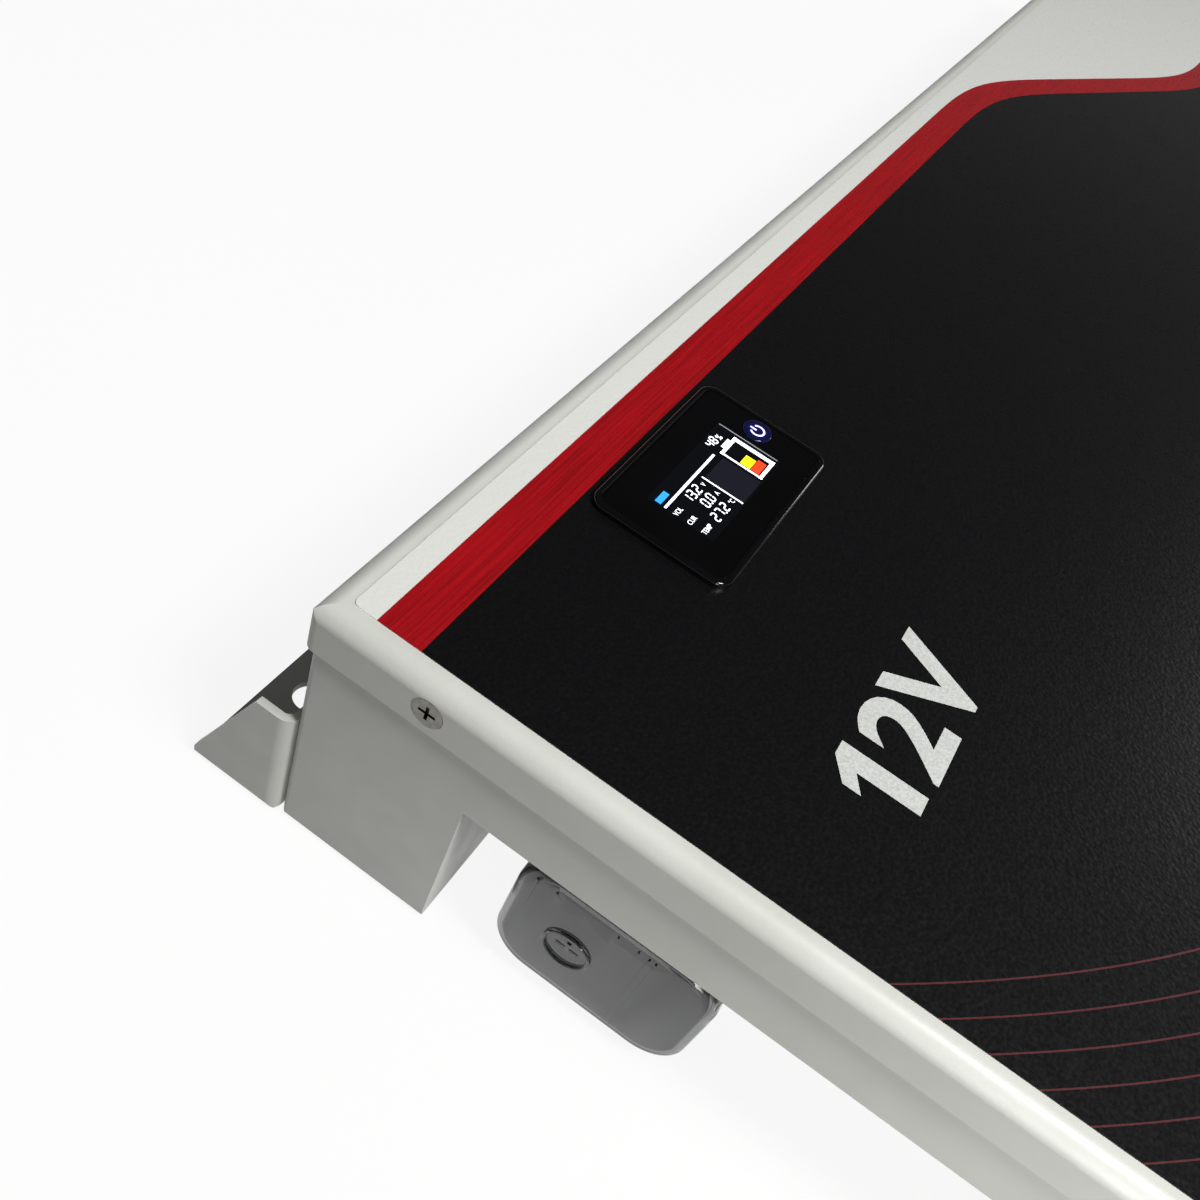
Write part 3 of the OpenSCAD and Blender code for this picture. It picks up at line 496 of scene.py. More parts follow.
def lettering(name, words, size, x, y, low, high, weight=0.0, squeeze=1.0):
    """Plain raised characters whose lower left corner is at x, y."""
    curve = bpy.data.curves.new(name, "FONT")
    curve.body = words
    curve.size = size
    curve.offset = weight
    curve.extrude = (high - low) / 2
    curve.resolution_u = 6
    text = bpy.data.objects.new(name, curve)
    bpy.context.scene.collection.objects.link(text)
    bpy.context.view_layer.update()
    mesh = bpy.data.meshes.new_from_object(text.evaluated_get(bpy.context.evaluated_depsgraph_get()))
    bpy.data.objects.remove(text)
    bpy.data.curves.remove(curve)
    mesh.transform(Matrix.Translation((x, y, (low + high) / 2)) @ Matrix.Diagonal((squeeze, 1, 1, 1)))
    return mesh


SEGMENTS = {
    "0": "abcdef", "1": "bc", "2": "abged", "3": "abgcd", "4": "fgbc",
    "5": "afgcd", "6": "afgedc", "7": "abc", "8": "abcdefg", "9": "abcdfg",
}


def digits(name, number, x, y, width, height, thick, low, high, pitch):
    """A number in seven-segment digits, with its lower left corner at x, y."""
    gap = thick * 0.12
    half = height / 2
    lean = 0.08
    meshes = []
    place = x
    for mark in number:
        if mark == ".":
            spot = thick * 0.55
            box = [(place - thick * 0.2 + a, y + b) for a, b in
                   ((0, 0), (2 * spot, 0), (2 * spot, 2 * spot), (0, 2 * spot))]
            meshes.append(slab(name, box, low, high))
            place += thick * 1.3
            continue
        ends = {
            "a": ((0, height), (width, height)), "g": ((0, half), (width, half)), "d": ((0, 0), (width, 0)),
            "f": ((0, half), (0, height)), "b": ((width, half), (width, height)),
            "e": ((0, 0), (0, half)), "c": ((width, 0), (width, half)),
        }
        for segment in SEGMENTS[mark]:
            (x0, y0), (x1, y1) = ends[segment]
            t = thick / 2
            if y0 == y1:
                shape = [(x0 + gap, y0), (x0 + gap + t, y0 - t), (x1 - gap - t, y0 - t),
                         (x1 - gap, y0), (x1 - gap - t, y0 + t), (x0 + gap + t, y0 + t)]
            else:
                shape = [(x0, y0 + gap), (x0 + t, y0 + gap + t), (x0 + t, y1 - gap - t),
                         (x0, y1 - gap), (x0 - t, y1 - gap - t), (x0 - t, y0 + gap + t)]
            shape = [(place + t + a + lean * b, y + t + b) for a, b in shape]
            meshes.append(slab(name, shape, low, high))
        place += pitch
    return merge(name, meshes)


# ---------------------------------------------------------------- pieces

class BATTERY_OT_case(bpy.types.Operator):
    """Finishes the folded case, the lid and the feet, and the foam strips"""

    bl_idname = "battery.case"
    bl_label = "Case"

    def execute(self, context):
        dress(POWDER_NODES, powder_coat())
        # Closed-cell EVA foam, cut from sheet: dull, with small pores
        foam = plain_finish("cut_eva_foam", "26272A", "1E1F22", 0.85, 0.6, 0.12, patch_mm=5.0)
        dress(("lid_gasket", "back_pad", "side_foam", "end_blocks"), foam)
        return {"FINISHED"}


class BATTERY_OT_film(bpy.types.Operator):
    """Prints the film on the lid"""

    bl_idname = "battery.film"
    bl_label = "Printed Film"

    def execute(self, context):
        dress(("front_label",), printed_film())
        # Screen-printed white ink: thick and slightly sparkling over the film's pebbles
        ink = plain_finish("screen_printed_white_ink", "DADCD8", "C6C8C4", 0.5, 0.35, 0.03, patch_mm=0.7)
        z = FILM_HIGH.z
        left = LID_LOW.x + 38 * MM
        base = LID_HIGH.y - 117.5 * MM
        top = z + 0.03 * MM
        one = [(4.4, 0), (9.6, 0), (9.6, 20.3), (5.6, 20.3), (0, 16.2), (0, 11.9), (4.4, 14.8)]
        stem = slab("one", [(left + x * MM, base + y * MM) for x, y in one], z, top)
        rest = lettering("rest", "2V", 28.5 * MM, left + 13.5 * MM, base, z, top,
                         weight=0.75 * MM, squeeze=1.12)
        mesh = merge("printed_voltage", [stem, rest])
        finish_piece("printed_voltage", mesh, ink, CASE_BODY)
        return {"FINISHED"}


class BATTERY_OT_display(bpy.types.Operator):
    """Builds the screen frame, its window and what the screen shows"""

    bl_idname = "battery.display"
    bl_label = "Display"

    def execute(self, context):
        low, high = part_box("display_frame")
        cx, cy = (low.x + high.x) / 2, (low.y + high.y) / 2
        width, height = high.x - low.x, high.y - low.y
        base = FILM_HIGH.z
        top = high.z
        bottom = low.z
        corner = 4 * MM
        button_low, button_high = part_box("power_button")
        bx = (button_low.x + button_high.x) / 2
        button_r = (button_high.x - button_low.x) / 2

        # Gloss ABS, moulded in a polished tool: deep black with crisp reflections
        gloss = plain_finish("moulded_gloss_abs", "08080A", "0B0B0D", 0.10, 2.2, 0.004, patch_mm=14.0)
        lens, tree, shader = material("hard_coated_acrylic", "050506", 0.05, ior=1.49)
        where = millimetres(tree)
        mottle(tree, shader, "050506", "070709", 18.0, where)
        grain(tree, shader, 6.0, 0.003, where)
        uneven_gloss(tree, shader, 8.0, 0.04, 0.08, where)

        # Frame: outer wall with a rounded shoulder, a narrow rim, a groove and a step down to the window
        rim = 1.1 * MM
        groove = 0.14 * MM
        seat = 0.6 * MM
        shoulder = 0.7 * MM
        inner_corner = 2.8 * MM
        body_w, body_h = width - 2.4 * MM, height - 2.4 * MM
        layers = [
            (body_w - 3 * MM, body_h - 3 * MM, 1.5 * MM, bottom),
            (body_w, body_h, inner_corner, bottom),
            (body_w, body_h, inner_corner, base),
            (width, height, corner, base),
            (width, height, corner, top - shoulder),
        ]
        for k in range(1, 7):
            turn = math.radians(15 * k)
            inset = shoulder * (1 - math.cos(turn))
            z = top - shoulder + shoulder * math.sin(turn)
            layers.append((width - 2 * inset, height - 2 * inset, corner - inset, z))
        crown = shoulder * 0.4
        for past_rim, drop in ((0, 0), (0.12 * MM, groove), (0.4 * MM, groove), (0.5 * MM, 0)):
            inset = rim + past_rim + crown
            layers.append((width - 2 * inset, height - 2 * inset, corner - inset, top - drop))
        edge = rim + 0.5 * MM + crown
        step = 0.1 * MM
        layers.append((width - 2 * edge, height - 2 * edge, corner - edge, top - seat))
        frame_mesh = plate_stack("display_frame", cx, cy, layers)
        hole = turned("button_well", (bx, cy, bottom - 1 * MM), (0, 0, 1),
                      [(button_r + 0.3 * MM, 0), (button_r + 0.3 * MM, 20 * MM)], 64)
        frame_mesh = carve(frame_mesh, hole)
        piece = finish_piece("screen_frame", frame_mesh, gloss, CASE_BODY, 30)
        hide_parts("display_frame")

        # Window: one sheet over the whole face, printed black behind, open round the button
        face = edge + 0.05 * MM
        bevel = 0.1 * MM
        within = face + bevel
        sheet = plate_stack("window", cx, cy, [
            (width - 2 * face, height - 2 * face, corner - face, top - seat),
            (width - 2 * face, height - 2 * face, corner - face, top - step - bevel),
            (width - 2 * within, height - 2 * within, corner - within, top - step),
        ])
        well = turned("button_well", (bx, cy, bottom), (0, 0, 1),
                      [(button_r + 0.25 * MM, 0), (button_r + 0.25 * MM, 20 * MM)], 64)
        sheet = carve(sheet, well)
        piece = finish_piece("screen_window", sheet, lens, CASE_BODY, 30)
        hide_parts("display_window")
        self.show_readings(top - step, cx, cy)
        return {"FINISHED"}

    def show_readings(self, face, cx, cy):
        """Builds what the screen shows, as thin lit shapes on the window."""
        low = face - 0.01 * MM
        high = face + 0.02 * MM
        front = 0.01 * MM

        def bar(x0, y0, x1, y1, lift=front):
            corners = ((x0, y0), (x1, y0), (x1, y1), (x0, y1))
            return slab("bar", [(cx + x * MM, cy + y * MM) for x, y in corners], low + lift, high + lift)

        def words(text, x, y, size):
            return lettering("words", text, size * MM, cx + x * MM, cy + y * MM, low + front, high + front,
                             0.01 * MM, 0.82)

        def number(text, x, y, tall):
            wide = tall * 0.52
            return digits("number", text, cx + x * MM, cy + y * MM, wide * MM, tall * MM, 0.38 * MM,
                          low + front, high + front, (wide + 0.78) * MM)

        def show(name, meshes, mat):
            finish_piece(name, merge(name, meshes), mat, CASE_BODY)

        white = lit("lcd_white_segments", "F4F8FF", 1.3)
        grey = lit("lcd_grey_segments", "8E9299", 0.4)
        blue = lit("lcd_blue_segments", "2C8BE8", 1.2)
        yellow = lit("lcd_yellow_segments", "F4D21A", 1.2)
        red = lit("lcd_red_segments", "F03A1C", 1.2)
        dark = lit("lcd_dark_panel", "1B1C26", 0.1)
        black = lit("lcd_black_panel", "05070C", 0.03)

        left, right, foot, head = -18.8, 17.3, -9.2, 8.6
        show("screen_panel", [bar(left, foot, right + 0.6, head, -0.005 * MM)], black)
        show("screen_fault_box", [bar(-2.3, foot + 0.4, 7.4, 1.9, 0.004 * MM)], dark)
        marks = [bar(left + 0.4, 3.7, 6.6, 4.35), bar(-2.8, foot + 0.4, -2.35, 2.6)]
        # Battery symbol: an outline, thicker on its right, with a cap on its upper end
        x0, x1, y0, y1 = 8.4, 16.4, -8.5, 3.3
        marks += [
            bar(x0, y0, x0 + 0.6, y1), bar(x1 - 1.25, y0, x1, y1), bar(x0, y0, x1, y0 + 0.9),
            bar(x0, y1 - 0.9, x1, y1), bar(10.6, y1, 14.4, y1 + 0.9),
        ]
        rows = (("VOL", "13.2", "V", 0.1), ("CUR", "0.0", "A", -3.6), ("TEMP", "27.2", "°C", -7.5))
        for text, value, unit, y in rows:
            start = -6.3 - 2.1 * len(value.replace(".", ""))
            marks.append(words(text, left + 0.3, y + 0.5, 1.9))
            marks.append(number(value, start, y, 2.5))
            marks.append(words(unit, -5.0, y + 0.4, 1.8))
        marks += [number("48", 8.2, 5.2, 2.3), words("%", 12.4, 5.2, 2.6)]
        show("screen_readings", marks, white)
        show("screen_status", [bar(left + 0.6, 5.3, left + 4.9, 6.9)], blue)
        show("screen_side_line", [bar(right + 0.15, foot + 0.7, right + 0.5, head - 0.3)], grey)
        show("screen_charge_yellow", [bar(x0 + 0.9, -4.7, x1 - 3.3, -1.9)], yellow)
        show("screen_charge_red", [bar(x0 + 0.9, -7.2, x1 - 2.4, -4.9)], red)


class BATTERY_OT_button(bpy.types.Operator):
    """Builds the lit power button"""

    bl_idname = "battery.button"
    bl_label = "Power Button"

    def execute(self, context):
        low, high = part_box("power_button")
        cx, cy = (low.x + high.x) / 2, (low.y + high.y) / 2
        radius = (high.x - low.x) / 2
        top = high.z
        code = context.scene.battery_colours.glow
        # Translucent polycarbonate key with a blue lamp behind: dark blue with a soft glow
        glow, tree, shader = material("backlit_polycarbonate", "0A0C2C", 0.12, ior=1.58)
        where = millimetres(tree)
        mottle(tree, shader, "0A0C2C", "0D1036", 3.0, where)
        place = add(tree, "ShaderNodeVectorMath", {"operation": "SUBTRACT"},
                    {0: where, 1: (cx / MM, cy / MM, top / MM)})
        far = add(tree, "ShaderNodeVectorMath", {"operation": "LENGTH"}, {0: place.outputs[0]})
        fade = add(tree, "ShaderNodeMapRange", {"interpolation_type": "SMOOTHSTEP"}, {
            "Value": far.outputs["Value"], "From Min": 1.4, "From Max": 3.9, "To Min": 0.55, "To Max": 0.12})
        shader.inputs["Emission Color"].default_value = linear(code)
        tree.links.new(fade.outputs[0], shader.inputs["Emission Strength"])
        grain(tree, shader, 1.5, 0.004, where)
        dish = 0.12 * MM
        stem_r = 1.7 * MM
        key_h = 3.1 * MM
        edge = 0.3 * MM
        profile = [(stem_r, low.z - top), (stem_r, -key_h), (radius, -key_h), (radius, -edge)]
        for k in range(1, 5):
            turn = math.radians(22.5 * k)
            profile.append((radius - edge * (1 - math.cos(turn)), -edge + edge * math.sin(turn)))
        for share in (0.75, 0.5, 0.25, 0.08):
            profile.append((radius * share, -dish * (1 - share ** 2)))
        key = turned("key", (cx, cy, top), (0, 0, 1), profile, 64)
        piece = finish_piece("power_key", key, glow, "button", 40)
        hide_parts("power_button")

        lilac = lit("backlit_symbol", "D5D0FF", 1.3)
        arc_r = 1.75 * MM
        line = 0.5 * MM
        arc = [(cx + arc_r * math.cos(math.radians(a)), cy + arc_r * math.sin(math.radians(a)))
               for a in range(128, 413, 8)]
        stem = [(cx, cy + up * MM) for up in (0.3, 1.2, 2.1)]
        meshes = [strip(name, points, line, top - 0.14 * MM, top - 0.05 * MM)
                  for name, points in (("arc", arc), ("stem", stem))]
        finish_piece("power_symbol", merge("power_symbol", meshes), lilac, "button")
        return {"FINISHED"}


class BATTERY_OT_covers(bpy.types.Operator):
    """Builds the clear terminal covers"""

    bl_idname = "battery.covers"
    bl_label = "Terminal Covers"

    def execute(self, context):
        clear = clear_polycarbonate()
        for word, side in SIDES:
            node = word + "_cover"
            low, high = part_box(node)
            bolt_low, bolt_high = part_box(word + "_bolt")
            by, bz = (bolt_low.y + bolt_high.y) / 2, (bolt_low.z + bolt_high.z) / 2
            mesh = self.shell(low, high)
            mesh = carve(mesh, self.entry(low, high, side))
            mesh = carve(mesh, self.ribs(low, high, side, by, bz), "UNION")
            piece = finish_piece("clear_cover_" + word, mesh, clear, "cover_" + word, 30)
            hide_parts(node)
        return {"FINISHED"}

    def shell(self, low, high):
        """The moulded box: one wall all round, rounded at the outer face."""
        wall = 1.6 * MM
        face = low.x + COVER_RELIEF
        mouth = high.x
        corner = 11 * MM
        soft = 3.0 * MM
        cy, cz = (low.y + high.y) / 2, (low.z + high.z) / 2
        width, height = high.y - low.y, high.z - low.z
        steps = 6

        def ring(inset, x):
            outline = rounded(width - 2 * inset, height - 2 * inset, corner - inset, 14)
            return [(x, cy + u, cz + v) for u, v in outline]

        rings = []
        inner_soft = soft - wall
        for k in range(steps + 1):
            turn = math.radians(90 * k / steps)
            inset = wall + inner_soft * (1 - math.sin(turn))
            rings.append(ring(inset, face + wall + inner_soft * (1 - math.cos(turn))))
        rings.append(ring(wall, mouth))
        rings.append(ring(0, mouth))
        for k in range(steps + 1):
            turn = math.radians(90 * (steps - k) / steps)
            inset = soft * (1 - math.sin(turn))
            rings.append(ring(inset, face + soft * (1 - math.cos(turn))))
        return skin("cover_shell", rings)

    def entry(self, low, high, side):
        """The cable opening in the wall that faces the other cover."""
        radius = 7 * MM
        outside = 4 * MM
        off_middle = 5 * MM
        inner_y = low.y if side > 0 else high.y
        x = low.x + COVER_RELIEF + 3 * MM + radius
        centre = (x, inner_y - side * outside, (low.z + high.z) / 2 + off_middle)
        return turned("entry", centre, (0, side, 0), [(radius, 0), (radius, outside + 8 * MM)])

    def ribs(self, low, high, side, by, bz):
        """Moulded ring in front of the bolt, and fine ribs on the outer face."""
        face = low.x + COVER_RELIEF
        sink = 0.3 * MM
        foot, crest = sink + 0.6 * MM, sink + 0.75 * MM
        outer = turned("ring", (face + sink, by, bz), (-1, 0, 0), [
            (6.0 * MM, 0), (6.0 * MM, foot), (5.8 * MM, crest),
            (5.4 * MM, crest), (5.2 * MM, foot), (5.2 * MM, 0)], capped=False)
        bm = bmesh.new()
        bm.from_mesh(outer)
        open_edges = [e for e in bm.edges if e.is_boundary]
        bmesh.ops.bridge_loops(bm, edges=open_edges)
        bmesh.ops.recalc_face_normals(bm, faces=bm.faces)
        bm.to_mesh(outer)
        bm.free()
        meshes = [outer]
        top = high.z - 3.2 * MM
        half = 0.22 * MM
        rib_h = 0.4 * MM
        spans = ((12.6, 5.5), (7.6, 5.5), (-7.6, 3.5), (-12.6, 5.5), (-15.2, -15), (-16.8, -15))
        for shift, start in spans:
            y = by + side * shift * MM
            z0 = bz + start * MM
            outline = [(y - half, z0), (y + half, z0), (y + half, top), (y - half, top)]
            rings = [[(x, a, b) for a, b in outline] for x in (face + sink, face - rib_h)]
            meshes.append(skin("rib", rings))
        # Polarity mark inside the ring, moulded with it
        arm, thick = 2.9 * MM, 0.5 * MM
        mark_h = 0.35 * MM
        bars = [(arm, thick)] + ([(thick, arm)] if side > 0 else [])
        mark = None
        for a, b in bars:
            outline = [(by - a, bz - b), (by + a, bz - b), (by + a, bz + b), (by - a, bz + b)]
            rings = [[(x, u, v) for u, v in outline] for x in (face + sink, face - mark_h)]
            arm_mesh = skin("mark", rings)
            mark = arm_mesh if mark is None else carve(mark, arm_mesh, "UNION")
        meshes.append(mark)
        return merge("ribs", meshes)


class BATTERY_OT_terminals(bpy.types.Operator):
    """Finishes the bolts, washers, posts and insulator plates"""

    bl_idname = "battery.terminals"
    bl_label = "Terminals"

    def execute(self, context):
        # Bright nickel plate on cold-formed steel: mirror-like with faint handling marks
        nickel = plain_finish("bright_nickel_plate", "CFCDC8", "BEBCB6", 0.16, 0.5, 0.004, 1.0, patch_mm=3.0)
        names = ["{}_{}".format(word, part) for word, _ in SIDES for part in ("bolt", "washers", "nut")]
        dress(names + ["pole_nuts", "lid_nuts", "foot_nuts", "button_switch"], nickel)
        # Dull zinc plate on machine screws: grey and cloudy, with a base colour darkened as a painted
        # reflection of dark surroundings
        zinc = plain_finish("zinc_plate_painted_dark_reflection", "7C7A74", "69675F", 0.34, 0.5, 0.01, 1.0, patch_mm=1.6)
        dress(("lid_screws", "foot_screws"), zinc)
        # Turned brass: warm and satin, with fine rings left by the tool
        brass = plain_finish("turned_brass", "C9A24E", "B8903E", 0.28, 0.4, 0.006, 1.0, patch_mm=4.0,
                             stretch=(4, 0.6, 0.6))
        dress(("positive_post", "negative_post"), brass)
        # Glass-filled polyamide, moulded in a spark-eroded tool: dull near-black
        black = plain_finish("moulded_black_polyamide", "1B1C1E", "151618", 0.5, 0.35, 0.02, patch_mm=6.0)
        dress(("positive_plate", "negative_plate"), black)
        # Natural polyamide, moulded or punched: waxy off-white
        nylon = plain_finish("natural_polyamide", "DEDACB", "D3CEBC", 0.45, 0.8, 0.01, patch_mm=8.0)
        dress(("inner_collars", "bms_standoffs", "cell_separators"), nylon)
        # Rolled copper strip: reddish satin metal, brushed along its length
        copper = plain_finish("rolled_copper", "C27A50", "AE6A44", 0.3, 0.5, 0.006, 1.0, patch_mm=6.0,
                              stretch=(0.1, 1.5, 1.5))
        dress(("positive_strap", "negative_strap", "bms_strap", "series_busbars", "positive_busbar",
               "negative_busbar"), copper)
        return {"FINISHED"}


class BATTERY_OT_inside(bpy.types.Operator):
    """Finishes the cells, boards, wires and sheets inside the case"""

    bl_idname = "battery.inside"
    bl_label = "Inside Parts"

    def execute(self, context):
        dress(["cell_{}".format(k) for k in range(1, 9)], cell_film())
        # Woven glass and epoxy sheet: pale green with the weave just showing
        epoxy, tree, shader = material("glass_epoxy_sheet", "A9B884", 0.4, ior=1.55)
        where = millimetres(tree)
        weave = add(tree, "ShaderNodeTexWave", {"bands_direction": "DIAGONAL"},
                    {"Vector": where, "Scale": 0.35, "Distortion": 1.5, "Detail": 2.0})
        mix = add(tree, "ShaderNodeMix", {"data_type": "RGBA"},
                  {0: weave.outputs["Fac"], 6: linear("A9B884"), 7: linear("9DAC78")})
        tree.links.new(mix.outputs[2], shader.inputs["Base Color"])
        grain(tree, shader, 0.8, 0.02, where)
        dress(("insulation_sheet",), epoxy)
        # Green solder mask over etched copper tracks
        board, tree, shader = material("solder_mask", "12502C", 0.3, ior=1.55)
        where = millimetres(tree)
        tracks = add(tree, "ShaderNodeTexBrick", {"offset": 0.5},
                     {"Vector": where, "Scale": 0.4, "Color1": linear("12502C"), "Color2": linear("16592F"),
                      "Mortar": linear("1E6F3E"), "Mortar Size": 0.03})
        tree.links.new(tracks.outputs["Color"], shader.inputs["Base Color"])
        grain(tree, shader, 1.0, 0.01, where)
        dress(("display_board", "bms_board"), board)
        # Grey flat cable: extruded PVC with a rib for each wire
        ribbon, tree, shader = material("extruded_pvc_ribbon", "8F9296", 0.5, ior=1.53)
        where = millimetres(tree)
        cores = add(tree, "ShaderNodeTexWave", {"bands_direction": "X"}, {"Vector": where, "Scale": 0.8})
        mix = add(tree, "ShaderNodeMix", {"data_type": "RGBA"},
                  {0: cores.outputs["Fac"], 6: linear("8F9296"), 7: linear("7F8286")})
        tree.links.new(mix.outputs[2], shader.inputs["Base Color"])
        grain(tree, shader, 1.0, 0.02, where)
        dress(("display_cable",), ribbon)
        # Epoxy moulding compound: matt black
        dress(("bms_transistors", "bms_parts"),
              plain_finish("epoxy_moulding", "17181A", "121315", 0.55, 0.3, 0.01, patch_mm=3.0))
        # Extruded aluminium with fine die lines along the fins
        dress(("bms_heat_spreader",),
              plain_finish("extruded_aluminium", "D2D4D6", "C3C5C8", 0.35, 0.5, 0.01, 1.0, patch_mm=5.0,
                           stretch=(0.05, 1.5, 1.5)))
        # Silicone insulation, extruded: soft red with a low sheen
        dress(("sensing_wires",),
              plain_finish("extruded_silicone", "A01818", "8E1414", 0.45, 0.8, 0.01, patch_mm=6.0))
        # Colour screen module behind its window: dark glass
        dress(("lcd_panel",), plain_finish("lcd_glass", "0A0D18", "0C1020", 0.12, 2.0, 0.002, patch_mm=8.0))
        return {"FINISHED"}


class BATTERY_OT_stage(bpy.types.Operator):
    """Sets the floor, the light and the camera"""

    bl_idname = "battery.stage"
    bl_label = "Stage"

    def execute(self, context):
        scene = context.scene
        bm = bmesh.new()
        floor_half = 6.0
        gap = 0.2 * MM
        bmesh.ops.create_grid(bm, x_segments=1, y_segments=1, size=floor_half)
        mesh = bpy.data.meshes.new("floor")
        bm.to_mesh(mesh)
        bm.free()
        mesh.transform(Matrix.Translation((0, 0, CAD_BOX[0][2] - gap)))
        # Matt white board: white to the eye, in gloss and in glass, with little bounce light
        floor_mat, tree, shader = material("matt_white_board", "F6F6F4", 0.9)
        rays = add(tree, "ShaderNodeLightPath")
        glass = add(tree, "ShaderNodeMath", {"operation": "MAXIMUM"},
                    {0: rays.outputs["Is Glossy Ray"], 1: rays.outputs["Is Transmission Ray"]})
        direct = add(tree, "ShaderNodeMath", {"operation": "LESS_THAN"},
                     {0: rays.outputs["Diffuse Depth"], 1: 0.5})
        mirrored = add(tree, "ShaderNodeMath", {"operation": "MULTIPLY"},
                       {0: glass.outputs[0], 1: direct.outputs[0]})
        seen = add(tree, "ShaderNodeMath", {"operation": "MAXIMUM"},
                   {0: rays.outputs["Is Camera Ray"], 1: mirrored.outputs[0]})
        tone = add(tree, "ShaderNodeMix", {"data_type": "RGBA"},
                   {0: seen.outputs[0], 6: linear("4A4A48"), 7: linear("F6F6F4")})
        tree.links.new(tone.outputs[2], shader.inputs["Base Color"])
        white_share = 0.9
        share = add(tree, "ShaderNodeMath", {"operation": "MULTIPLY"}, {0: seen.outputs[0], 1: white_share})
        white = add(tree, "ShaderNodeEmission", None, {"Color": (1, 1, 1, 1), "Strength": 1.0})
        mix = add(tree, "ShaderNodeMixShader", None,
                  {0: share.outputs[0], 1: shader.outputs[0], 2: white.outputs[0]})
        out = tree.nodes["Material Output"]
        tree.links.new(mix.outputs[0], out.inputs["Surface"])
        mesh.materials.append(floor_mat)
        floor = bpy.data.objects.new("floor", mesh)
        scene.collection.objects.link(floor)
        self.room(scene)

        power = scene.battery_sizes.lamp
        self.lamp("top_lamp", place=(-0.5, -0.68, 1.4), target=(-0.05, 0, 0.08), size=0.4, power=power)
        self.lamp("bay_lamp", place=(-0.80, -0.34, 0.16), target=(-0.34, -0.24, 0.05), size=0.3,
                  power=power * 0.03, spread=70)
        self.lamp("sheen_lamp", place=(1.5, -0.95, 0.62), target=(0.0, -0.1, 0.08), size=0.4,
                  power=power * 0.2)

        data = bpy.data.cameras.new("camera")
        data.lens = 36.0
        data.sensor_width = 36.0
        data.clip_start = 0.01
        camera = bpy.data.objects.new("camera", data)
        scene.collection.objects.link(camera)
        right = Vector((0.5004, -0.8167, 0.2876))
        up = Vector((0.5540, 0.5572, 0.6186))
        back_axis = Vector((-0.6654, -0.1502, 0.7312))
        corner = Vector((LID_LOW.x, LID_HIGH.y, LID_HIGH.z))
        from_corner = Vector((-121.9, -77.9, 180.3)) * MM
        turn = Matrix((right, up, back_axis)).transposed().to_4x4()
        camera.matrix_world = Matrix.Translation(corner + from_corner) @ turn
        scene.camera = camera
        scene.view_settings.view_transform = "Standard"
        return {"FINISHED"}

    def room(self, scene):
        """White to the eye and through glass; gloss sees white low down, under a dim ceiling."""
        world = bpy.data.worlds.new("soft_room")
        world.use_nodes = True
        scene.world = world
        tree = world.node_tree
        back = tree.nodes["Background"]
        rays = add(tree, "ShaderNodeLightPath")
        where = add(tree, "ShaderNodeTexCoord")
        split = add(tree, "ShaderNodeSeparateXYZ", None, {0: where.outputs["Generated"]})
        ceiling = add(tree, "ShaderNodeMapRange", {"interpolation_type": "SMOOTHSTEP"}, {
            "Value": split.outputs[2], "From Min": 0.0, "From Max": 0.24, "To Min": 0.8, "To Max": 0.035})
        gloss = add(tree, "ShaderNodeMath", {"operation": "MULTIPLY"},
                    {0: ceiling.outputs[0], 1: rays.outputs["Is Glossy Ray"]})
        direct = add(tree, "ShaderNodeMath", {"operation": "LESS_THAN"},
                     {0: rays.outputs["Diffuse Depth"], 1: 0.5})
        through = add(tree, "ShaderNodeMath", {"operation": "MULTIPLY"},
                      {0: rays.outputs["Is Transmission Ray"], 1: direct.outputs[0]})
        clear = add(tree, "ShaderNodeMath", {"operation": "MAXIMUM"},
                    {0: rays.outputs["Is Camera Ray"], 1: through.outputs[0]})
        seen = add(tree, "ShaderNodeMath", {"operation": "MAXIMUM"},
                   {0: gloss.outputs[0], 1: clear.outputs[0]})
        fill_level = 0.08
        fill = add(tree, "ShaderNodeMath", {"operation": "MULTIPLY"},
                   {0: rays.outputs["Is Diffuse Ray"], 1: fill_level})
        level = add(tree, "ShaderNodeMath", {"operation": "MAXIMUM"},
                    {0: seen.outputs[0], 1: fill.outputs[0]})
        back.inputs["Color"].default_value = (1, 1, 1, 1)
        tree.links.new(level.outputs[0], back.inputs["Strength"])

    def lamp(self, name, place, target, size, power, spread=180):
        """A square soft lamp aimed at a point, with its spread in degrees."""
        data = bpy.data.lights.new(name, "AREA")
        data.size = size
        data.energy = power
        data.spread = math.radians(spread)
        lamp = bpy.data.objects.new(name, data)
        bpy.context.scene.collection.objects.link(lamp)
        aim = (Vector(target) - Vector(place)).to_track_quat("-Z", "Y").to_matrix().to_4x4()
        lamp.matrix_world = Matrix.Translation(place) @ aim


class BATTERY_PT_panel(bpy.types.Panel):
    """Lists the battery's pieces and settings"""

    bl_label = "Battery"
    bl_idname = "BATTERY_PT_panel"
    bl_space_type = "VIEW_3D"
    bl_region_type = "UI"
    bl_category = "Battery"

    def draw(self, context):
        layout = self.layout
        for group in (context.scene.battery_sizes, context.scene.battery_colours):
            for name in group.bl_rna.properties.keys():
                if name not in ("rna_type", "name"):
                    layout.prop(group, name)
        for operator in OPERATORS:
            layout.operator(operator.bl_idname)


OPERATORS = (
    BATTERY_OT_stage,
    BATTERY_OT_case,
    BATTERY_OT_film,
    BATTERY_OT_display,
    BATTERY_OT_button,
    BATTERY_OT_covers,
    BATTERY_OT_terminals,
    BATTERY_OT_inside,
)
CLASSES = (BatteryColours, BatterySizes) + OPERATORS + (BATTERY_PT_panel,)


def register():
    for cls in CLASSES:
        bpy.utils.register_class(cls)
    bpy.types.Scene.battery_colours = bpy.props.PointerProperty(type=BatteryColours)
    bpy.types.Scene.battery_sizes = bpy.props.PointerProperty(type=BatterySizes)


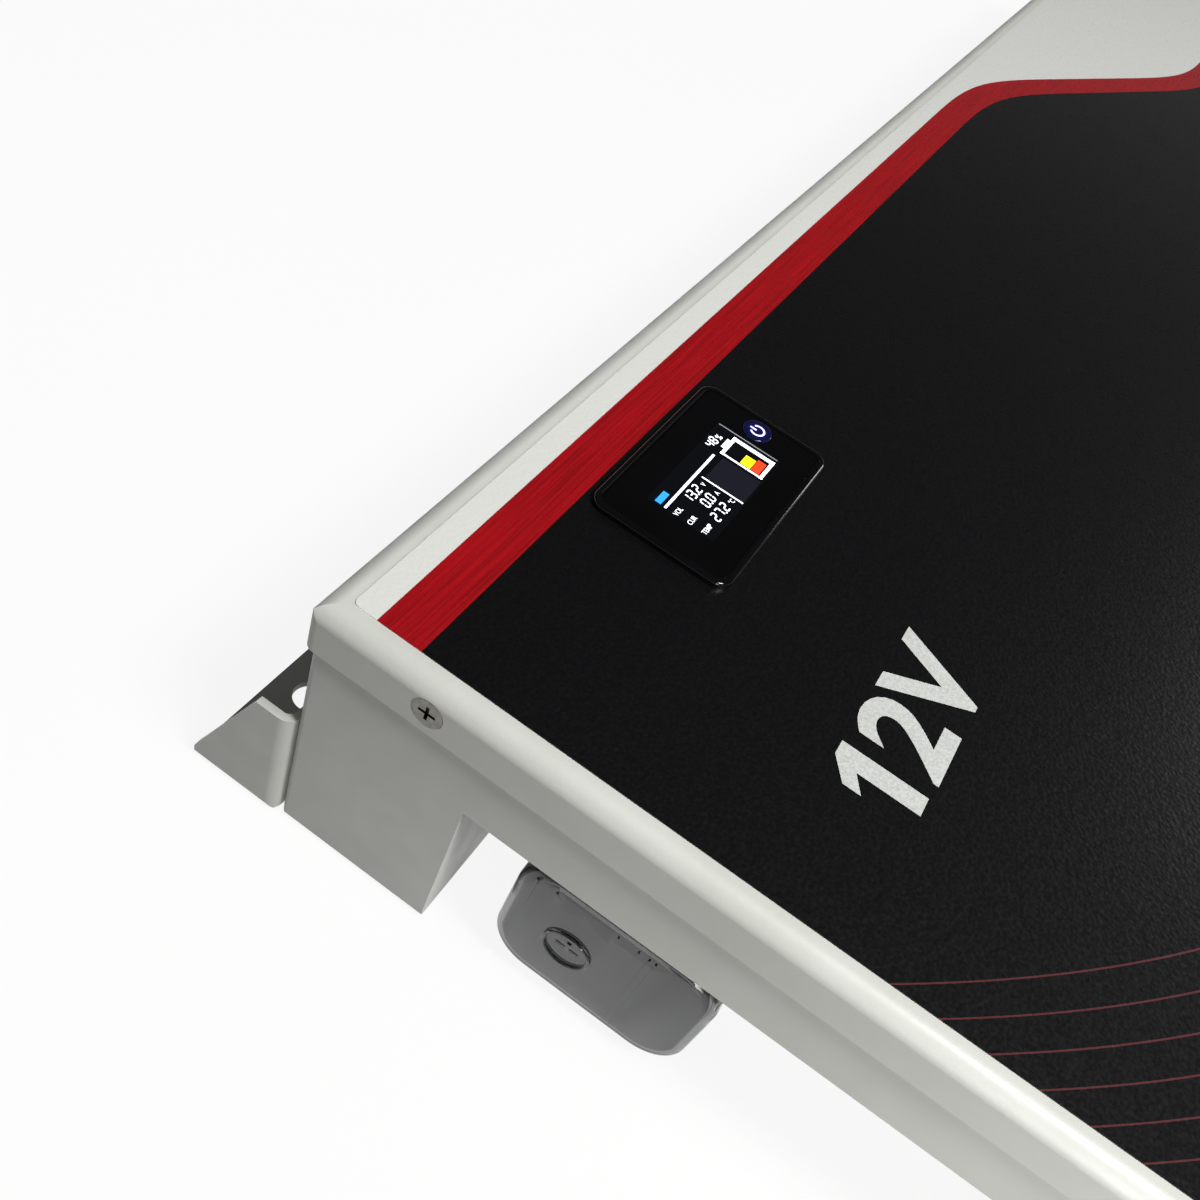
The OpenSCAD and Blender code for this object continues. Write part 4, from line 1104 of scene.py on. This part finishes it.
def unregister():
    del bpy.types.Scene.battery_sizes
    del bpy.types.Scene.battery_colours
    for cls in reversed(CLASSES):
        bpy.utils.unregister_class(cls)


def main():
    register()
    for operator in OPERATORS:
        group, name = operator.bl_idname.split(".")
        getattr(getattr(bpy.ops, group), name)()


if __name__ == "__main__":
    main()
